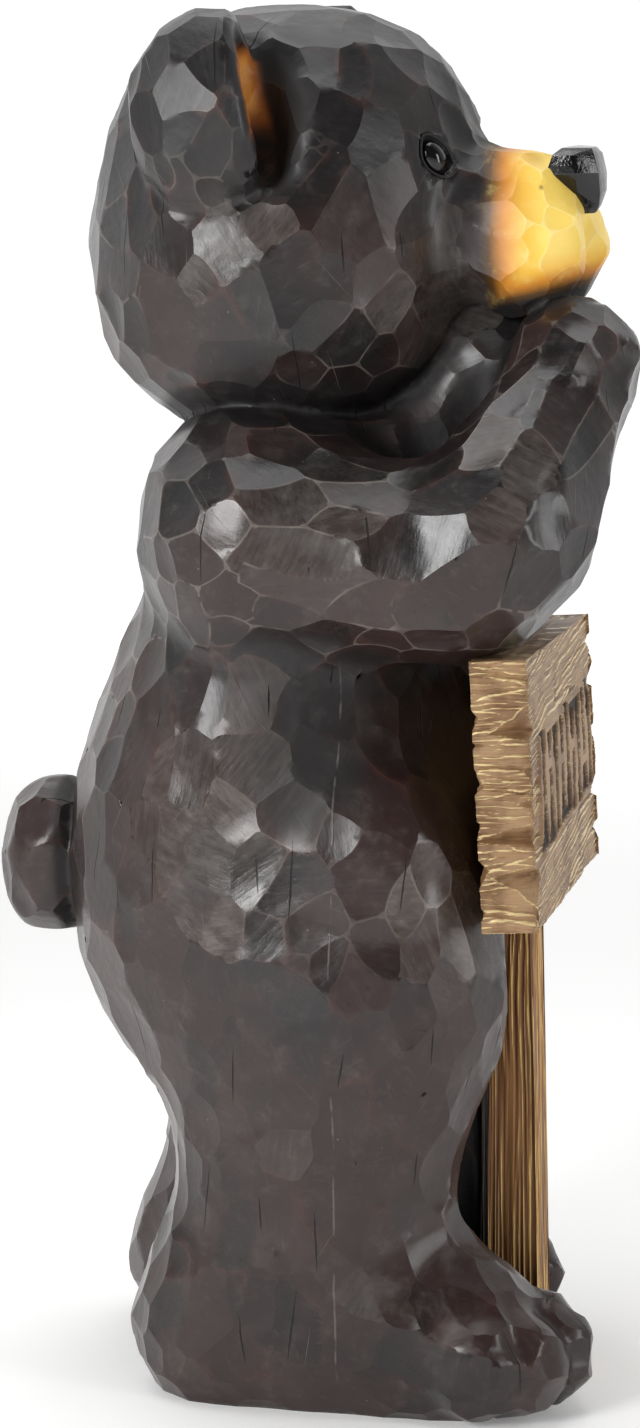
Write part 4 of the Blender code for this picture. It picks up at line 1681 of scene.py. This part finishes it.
CHIPS = tuple(Chip(edge, *sizes) for edge, rows in (
    (Edge.NEAR_FRONT, (
        (0.0350, 0.0200, 0.0050, 0.0310, 0.0220),
        (0.0150, 0.0050, 0.0110, 0.0120, 0.0130),
        (-0.0040, 0.0070, 0.0080, 0.0190, 0.0110),
        (-0.0240, 0.0160, 0.0060, 0.0520, 0.0170),
        (-0.0440, 0.0080, 0.0250, 0.0300, 0.0260),
        (0.0640, 0.0040, 0.0080, 0.0090, 0.0080),
    )),
    (Edge.NEAR_BACK, (
        (0.0440, 0.0070, 0.0120, 0.0060, 0.0200),
        (0.0290, 0.0030, 0.0040, 0.0260, 0.0080),
        (0.0060, 0.0150, 0.0060, 0.0075, 0.0220),
        (-0.0150, 0.0040, 0.0130, 0.0050, 0.0180),
        (-0.0400, 0.0080, 0.0140, 0.0080, 0.0220),
        (-0.0640, 0.0060, 0.0080, 0.0050, 0.0160),
    )),
    (Edge.FAR_FRONT, (
        (0.0600, 0.0050, 0.0140, 0.0240, 0.0190),
        (0.0330, 0.0140, 0.0040, 0.0200, 0.0150),
        (0.0040, 0.0050, 0.0140, 0.0220, 0.0120),
        (-0.0350, 0.0140, 0.0050, 0.0220, 0.0160),
        (-0.0560, 0.0050, 0.0130, 0.0180, 0.0150),
    )),
) for sizes in rows)


@dataclass(frozen=True)
class SignBoard:
    """The hewn board with a row of strokes where the words would be."""

    places: SignPlaces
    chips: tuple[Chip, ...] = CHIPS
    chip_core: float = 0.048        # from an upright edge to the line that its chips are cut toward
    stroke_band: tuple[float, float] = (0.112, 0.0345)      # half width and half height
    stroke_shift: float = 0.008
    strokes: int = 9
    stroke_half_width: float = 0.0074
    stroke_depth: float = 0.0022
    face_grain_rise: float = 0.085
    crest_height: float = 0.00042       # a crest this far over its surroundings is a full one

    def build(self) -> bpy.types.Mesh:
        """Makes the board.

        Returns:
            The mesh in its place, with the attributes that its paint reads.
        """
        width, depth, height = (side / 2 for side in self.places.board_size)
        hewn = Hewn(width, depth, -height, height, (38, 190, 24), 300)
        plan, outward, zones, base = hewn.walls()
        relief = self._relief(base, zones)
        stroke, written = self._strokes(base, zones)
        relief = relief * (1 - 0.75 * written) - stroke * self.stroke_depth
        crest = np.clip((relief - smoothed(relief, 4, 0)) / self.crest_height, -1, 1) * (1 - written)
        crest = np.maximum(crest, written * (1 - np.abs(stroke - 0.25) * 4))
        skin = base.copy()
        skin[..., :2] += relief[..., None] * outward
        skin, chipped, brink = self._chipped(skin)
        crest = np.maximum(crest * (1 - chipped), brink)
        cleft = np.clip(-crest * 0.9 - 0.35, 0, 1) * (1 - chipped)
        levels = self._capped(skin, plan, width, depth)
        mesh = lofted("sign_board_hewn", levels.tolist())
        extra = (len(levels) - len(skin)) // 2
        for name, table in (("crest", crest), ("stroke", stroke), ("cleft", cleft), ("chipped", chipped)):
            ends = [table[:1]] * extra + [table] + [table[-1:]] * extra
            store(mesh, name, np.concatenate(ends).ravel())
        turn = self.places.board_turn().to_4x4()
        place = Vector(self.places.board_centre) + Vector(STAND_OFFSET)
        mesh.transform(Matrix.Translation(place) @ turn)
        mark_creases(mesh, 38.0)
        return mesh

    def _relief(self, base: Array, zones: Array) -> Array:
        """How far each point of the hewn skin stands out, which is nowhere above nought.

        Args:
            base: Points of the plain board, level by level.
            zones: Which side each place of the loop is on.

        Returns:
            The relief, one number for each point.
        """
        flat = base.reshape(-1, 3)
        warped = flat.copy()
        on_front = np.broadcast_to(zones == 1, base.shape[:2]).ravel()
        warped[:, 2] -= self.face_grain_rise * flat[:, 0] * on_front
        warped[:, 2] += (0.0024 * grain(flat, (22, 30, 46), 3.1)
                         + 0.0006 * grain(flat, (80, 100, 150), 7.7))
        fine = ridged(grain(warped, (5, 16, 430), 11.0))
        finer = ridged(grain(warped, (12, 40, 900), 23.0))
        broad = grain(warped, (7, 15, 75), 31.0)
        cleft = np.exp(-(grain(warped, (5, 11, 70), 53.0) / 0.05) ** 2)
        split = grain(warped, (6, 14, 62), 43.0) * 3.0 + 0.20 * grain(flat, (60, 80, 240), 5.0)
        step = np.floor(split) + np.clip((split - np.floor(split) - 0.44) / 0.10, 0, 1)
        depth_of_cut = (0.0003 + 0.0008 * (1 - fine) + 0.0005 * (1 - finer)
                        + 0.0007 * (0.7 - broad) + 0.0014 * cleft)
        depth_of_cut += (2 - step) * np.where(on_front, 0.0005, 0.0013)
        relief = -np.clip(depth_of_cut, 0.0002, 0.0060).reshape(base.shape[:2])
        return relief * np.where(zones[None, :] == 3, 0.25, 1.0)

    def _chipped(self, skin: Array) -> tuple[Array, Array, Array]:
        """Takes the chips out of the hewn skin, each with two flat floors that meet in a valley.

        Args:
            skin: Points of the hewn skin, level by level.

        Returns:
            The points, how far each is inside a chip, and how near it is to a chip's brink.
        """
        width, depth = self.places.board_size[0] / 2, self.places.board_size[1] / 2
        shape = skin.shape[:2]
        flat = skin.reshape(-1, 3)
        rough = 0.10 * grain(flat, (70, 70, 110), 71.0) + 0.035 * grain(flat, (200, 200, 420), 77.0)
        rough = rough.reshape(shape)
        skin, chipped, brink = skin.copy(), np.zeros(shape), np.zeros(shape)
        for chip in self.chips:
            x_sign, y_sign = chip.edge.value
            core = np.array((x_sign * (width - self.chip_core), 0.0))
            height = skin[..., 2] - chip.height
            level = np.where(height > 0, height / chip.above, -height / chip.below) + rough - 1
            across = (width - skin[..., 0] * x_sign) / chip.along_face
            along = (depth - skin[..., 1] * y_sign) / chip.along_side
            here = across + along + level
            middle = self.chip_core / chip.along_face + depth / chip.along_side + level
            near = (skin[..., 0] * x_sign > width - self.chip_core)
            cut = near & (here < 0) & (middle > 0.1)
            share = np.where(cut, middle / np.maximum(middle - here, 1e-6), 1.0)
            skin[..., :2] = core + (skin[..., :2] - core) * share[..., None]
            chipped = np.maximum(chipped, np.where(cut, np.clip(-here / 0.10, 0, 1), 0))
            brink = np.maximum(brink * (here > -0.02), np.where(near, np.exp(-(here / 0.035) ** 2), 0))
        return skin, chipped, brink

    def _strokes(self, base: Array, zones: Array) -> tuple[Array, Array]:
        """Where the shallow strokes are sunk into the front, and the field that they stand in.

        Args:
            base: Points of the plain board, level by level.
            zones: Which side each place of the loop is on.

        Returns:
            One inside a stroke and nought outside, and one inside the field.
        """
        dice = np.random.default_rng(12)
        half_width, half_height = self.stroke_band
        x, z = base[..., 0] - self.stroke_shift, base[..., 2] - self.face_grain_rise * 0.5 * base[..., 0]
        inside = np.zeros(x.shape)
        wobble = 0.0007 * np.sin(z * 260 + 1.0) + 0.0004 * np.sin(z * 610)
        for number in range(self.strokes):
            middle = -half_width + 2 * half_width * (number + 0.5) / self.strokes
            middle += dice.uniform(-0.0012, 0.0012)
            top, bottom = half_height * dice.uniform(0.86, 1.0), -half_height * dice.uniform(0.86, 1.0)
            gap = dice.uniform(-0.5, 0.5) * half_height
            lean = dice.uniform(-0.04, 0.04)
            flare = 0.70 + 0.60 * np.clip((dice.choice((-1, 1)) * z / half_height - 0.20) / 0.30, 0, 1)
            flare = flare + 0.45 * np.clip((np.abs(z) / half_height - 0.62) / 0.15, 0, 1)
            across = np.abs(x - middle - lean * z - wobble) - self.stroke_half_width * flare
            ends = np.maximum(z - top, bottom - z)
            if number % 2:
                ends = np.maximum(ends, 0.0032 - np.abs(z - gap))
            inside = np.maximum(inside, np.clip(0.5 - np.maximum(across, ends) / 0.0012, 0, 1))
        field = np.clip((half_width + 0.003 - np.abs(x)) / 0.003, 0, 1)
        field = field * np.clip((half_height + 0.001 - np.abs(z)) / 0.003, 0, 1)
        on_front = zones[None, :] == 1
        return inside * on_front, field * on_front

    def _capped(self, skin: Array, plan: Array, width: float, depth: float) -> Array:
        """Adds shrinking loops at both ends, with the grain running along them."""
        insets = [0.0, 0.0012, 0.003, 0.0055, 0.0085, 0.0115, 0.0140, 0.0160]
        below, above = [], []
        for inset in insets:
            shrink = np.array(((width - inset) / width, (depth - inset) / depth))
            for ends, source in ((below, skin[0]), (above, skin[-1])):
                loop = source.copy()
                loop[:, :2] = source[:, :2] * shrink
                rough = ridged(grain(loop, (9, 300, 9), 61.0)) * 0.0007
                lift = min(inset / 0.002, 1.0) * (0.0009 - rough)
                loop[:, 2] += np.where(ends is above, -1, 1) * lift
                ends.append(loop)
        return np.concatenate([np.stack(below[::-1])[:-1], skin, np.stack(above)[1:]])

    def dress(self) -> bpy.types.Object:
        """Builds and paints the board, and hides the plain solid that it stands for."""
        piece = add_piece("sign_board_hewn", self.build(), BoardPaint().material())
        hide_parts("sign_board")
        return piece


@dataclass(frozen=True)
class SignPost:
    """The grained post that carries the board."""

    places: SignPlaces
    crest_height: float = 0.0004
    spray_from: float = -0.1075     # the black overspray starts here
    spray_fade: float = 0.0045

    def build(self) -> bpy.types.Mesh:
        """Makes the post.

        Returns:
            The mesh in its place, with the attributes that its paint reads.
        """
        places = self.places
        middle = (places.post_back + places.post_front_foot) / 2
        depth = (places.post_back - places.post_front_foot) / 2
        width = places.post_width / 2
        _, outward, _, base = Hewn(width, depth, 0, places.post_top, (60, 70, 34), 120).walls()
        flat = base.reshape(-1, 3)
        warped = flat.copy()
        warped[:, :2] += (0.0012 * grain(flat, (30, 30, 14), 2.0))[:, None]
        fine = ridged(grain(warped, (330, 330, 5.0), 15.0))
        finer = ridged(grain(warped, (700, 700, 10), 27.0))
        broad = grain(warped, (60, 60, 6), 39.0)
        relief = -(0.0003 + 0.0011 * (1 - fine) + 0.0004 * (1 - finer) + 0.0008 * (0.6 - broad))
        relief = np.clip(relief, -0.0035, 0).reshape(base.shape[:2])
        crest = (relief - smoothed(relief, 3, 1)) / self.crest_height
        skin = base.copy()
        share = base[..., 2] / places.post_top
        front_gain = (places.post_front_top - places.post_front_foot) * share
        skin[..., 1] += front_gain * np.clip(0.5 - base[..., 1] / (2 * depth), 0, 1)
        skin[..., 0] *= 1 + places.post_flare / places.post_width * (1 - share)
        skin[..., :2] += relief[..., None] * outward
        skin[..., 1] += middle
        mesh = lofted("sign_post_grained", skin.tolist())
        store(mesh, "crest", np.clip(crest, -1, 1).ravel())
        behind = np.clip((skin[..., 1] - self.spray_from) / self.spray_fade, 0, 1)
        store(mesh, "spray", behind.ravel())
        mesh.transform(Matrix.Translation(STAND_OFFSET))
        mark_creases(mesh, 38.0)
        return mesh

    def dress(self) -> bpy.types.Object:
        """Builds and paints the post, and hides the plain solid that it stands for."""
        piece = add_piece("sign_post_grained", self.build(), PostPaint().material())
        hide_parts("sign_post")
        return piece


# ---- the studio ---------------------------------------------------------------------------------
@dataclass(frozen=True)
class Softbox:
    """A soft lamp that faces a point."""

    name: str
    place: Triple
    target: Triple
    size: tuple[float, float]
    watts: float

    def hang(self) -> bpy.types.Object:
        """Adds the lamp."""
        lamp = bpy.data.lights.new(self.name, "AREA")
        lamp.shape = "RECTANGLE"
        lamp.size, lamp.size_y = self.size
        lamp.energy = self.watts
        thing = bpy.data.objects.new(self.name, lamp)
        bpy.context.scene.collection.objects.link(thing)
        thing.location = self.place
        aim = Vector(self.target) - Vector(self.place)
        thing.rotation_euler = aim.to_track_quat("-Z", "Y").to_euler()
        return thing


@dataclass(frozen=True)
class Studio:
    """Pale floor, soft lamps and the camera."""

    distance: float = 1.98
    bearing: float = 11.5
    pitch: float = 7.19
    eye_height: float = 0.638
    lens: float = 85.4
    floor_half: float = 6.0
    white_side: Triple = (0.98, 0.2, 0.0)                       # the way to the white end of the room
    room_light: tuple[float, ...] = (-0.45, 0.55, 0.07, 1.05)   # from dark to white, and how bright

    def build(self) -> None:
        """Sets up everything around the statue."""
        self._floor()
        self._lamps()
        self._room()
        self._camera()
        bpy.context.scene.view_settings.view_transform = "Standard"

    def _floor(self) -> None:
        """A wide pale sheet under the statue."""
        mesh = bpy.data.meshes.new("floor")
        half = self.floor_half
        corners = [(-half, -half, 0), (half, -half, 0), (half, half, 0), (-half, half, 0)]
        mesh.from_pydata(corners, [], [(0, 1, 2, 3)])
        sheet = Sheet("floor_paper", Roughness=0.8, Emission_Strength=1.0)
        colour = sheet.mix(sheet.noise(3.0), (0.90, 0.90, 0.895), (0.93, 0.93, 0.925))
        glow = sheet.mix(sheet.axis("X").rise(0.9, 3.6), (0.15, 0.15, 0.15), (0.55, 0.55, 0.55))
        mesh.materials.append(sheet.dress(Base_Color=colour, Emission_Color=glow))
        floor = bpy.data.objects.new("floor", mesh)
        bpy.context.scene.collection.objects.link(floor)

    def _around(self, bearing: float, height: float, distance: float) -> Triple:
        """A place seen from the statue at a bearing left of its right side, in degrees, and a height."""
        return (-distance * cos(radians(bearing)), distance * sin(radians(bearing)), height)

    def _lamps(self) -> None:
        """Soft lamps left, right and above."""
        chest = (0.0, 0.0, 0.42)
        for lamp in (Softbox("key_lamp", self._around(30, 1.05, 2.2), chest, (0.7, 1.0), 36.0),
                     Softbox("fill_lamp", self._around(-64, 0.85, 2.3), chest, (0.5, 1.3), 13.0),
                     Softbox("top_lamp", (0.0, 0.2, 2.6), chest, (1.6, 1.6), 22.0)):
            lamp.hang()

    def _room(self) -> None:
        """A room that is white behind the statue and dark behind the camera."""
        world = bpy.data.worlds.new("room")
        world.use_nodes = True
        room = NodeSheet(world.node_tree)
        shine = room.tree.nodes["Background"]
        shine.inputs["Color"].default_value = (1, 1, 1, 1)
        place = room.node("ShaderNodeTexCoord").outputs["Generated"]
        inputs = dict(zip(("From Min", "From Max", "To Min", "To Max"), self.room_light))
        inputs["Value"] = room.vector("DOT_PRODUCT", place, self.white_side)
        seen = Value(room, room.node("ShaderNodeLightPath").outputs["Is Camera Ray"])
        strength = room.value("ShaderNodeMapRange", {}, inputs).most(seen)
        room.tree.links.new(strength.socket, shine.inputs["Strength"])
        bpy.context.scene.world = world

    def _camera(self) -> None:
        """The camera, a little in front of a pure side view."""
        bearing, pitch = radians(self.bearing), radians(self.pitch)
        lens = bpy.data.cameras.new("camera")
        lens.sensor_fit = "VERTICAL"
        lens.sensor_height = 36.0
        lens.lens = self.lens
        camera = bpy.data.objects.new("camera", lens)
        bpy.context.scene.collection.objects.link(camera)
        stand = Vector((-self.distance * cos(bearing), -self.distance * sin(bearing), self.eye_height))
        camera.location = stand + Vector(STAND_OFFSET)
        forward = Vector((cos(bearing) * cos(pitch), sin(bearing) * cos(pitch), -sin(pitch)))
        camera.rotation_euler = forward.to_track_quat("-Z", "Y").to_euler()
        bpy.context.scene.camera = camera


def main() -> None:
    """Builds the statue and the studio, and reports each piece."""
    logging.basicConfig(level=logging.INFO, format="%(name)s: %(message)s")
    bear, places = BearForm(), SignPlaces()
    coat = BearCoat(bear, places).dress()
    gloss = BeadGloss().material("eye_gloss")
    skin = BVHTree.FromPolygons([vertex.co for vertex in coat.data.vertices],
                                [polygon.vertices for polygon in coat.data.polygons])
    for side in Side:
        Eye(bear.head, side, skin).dress(gloss, coat.data.materials[0])
    Nose(bear.head).dress()
    SignBoard(places).dress()
    SignPost(places).dress()
    Studio().build()


if __name__ == "__main__":
    main()
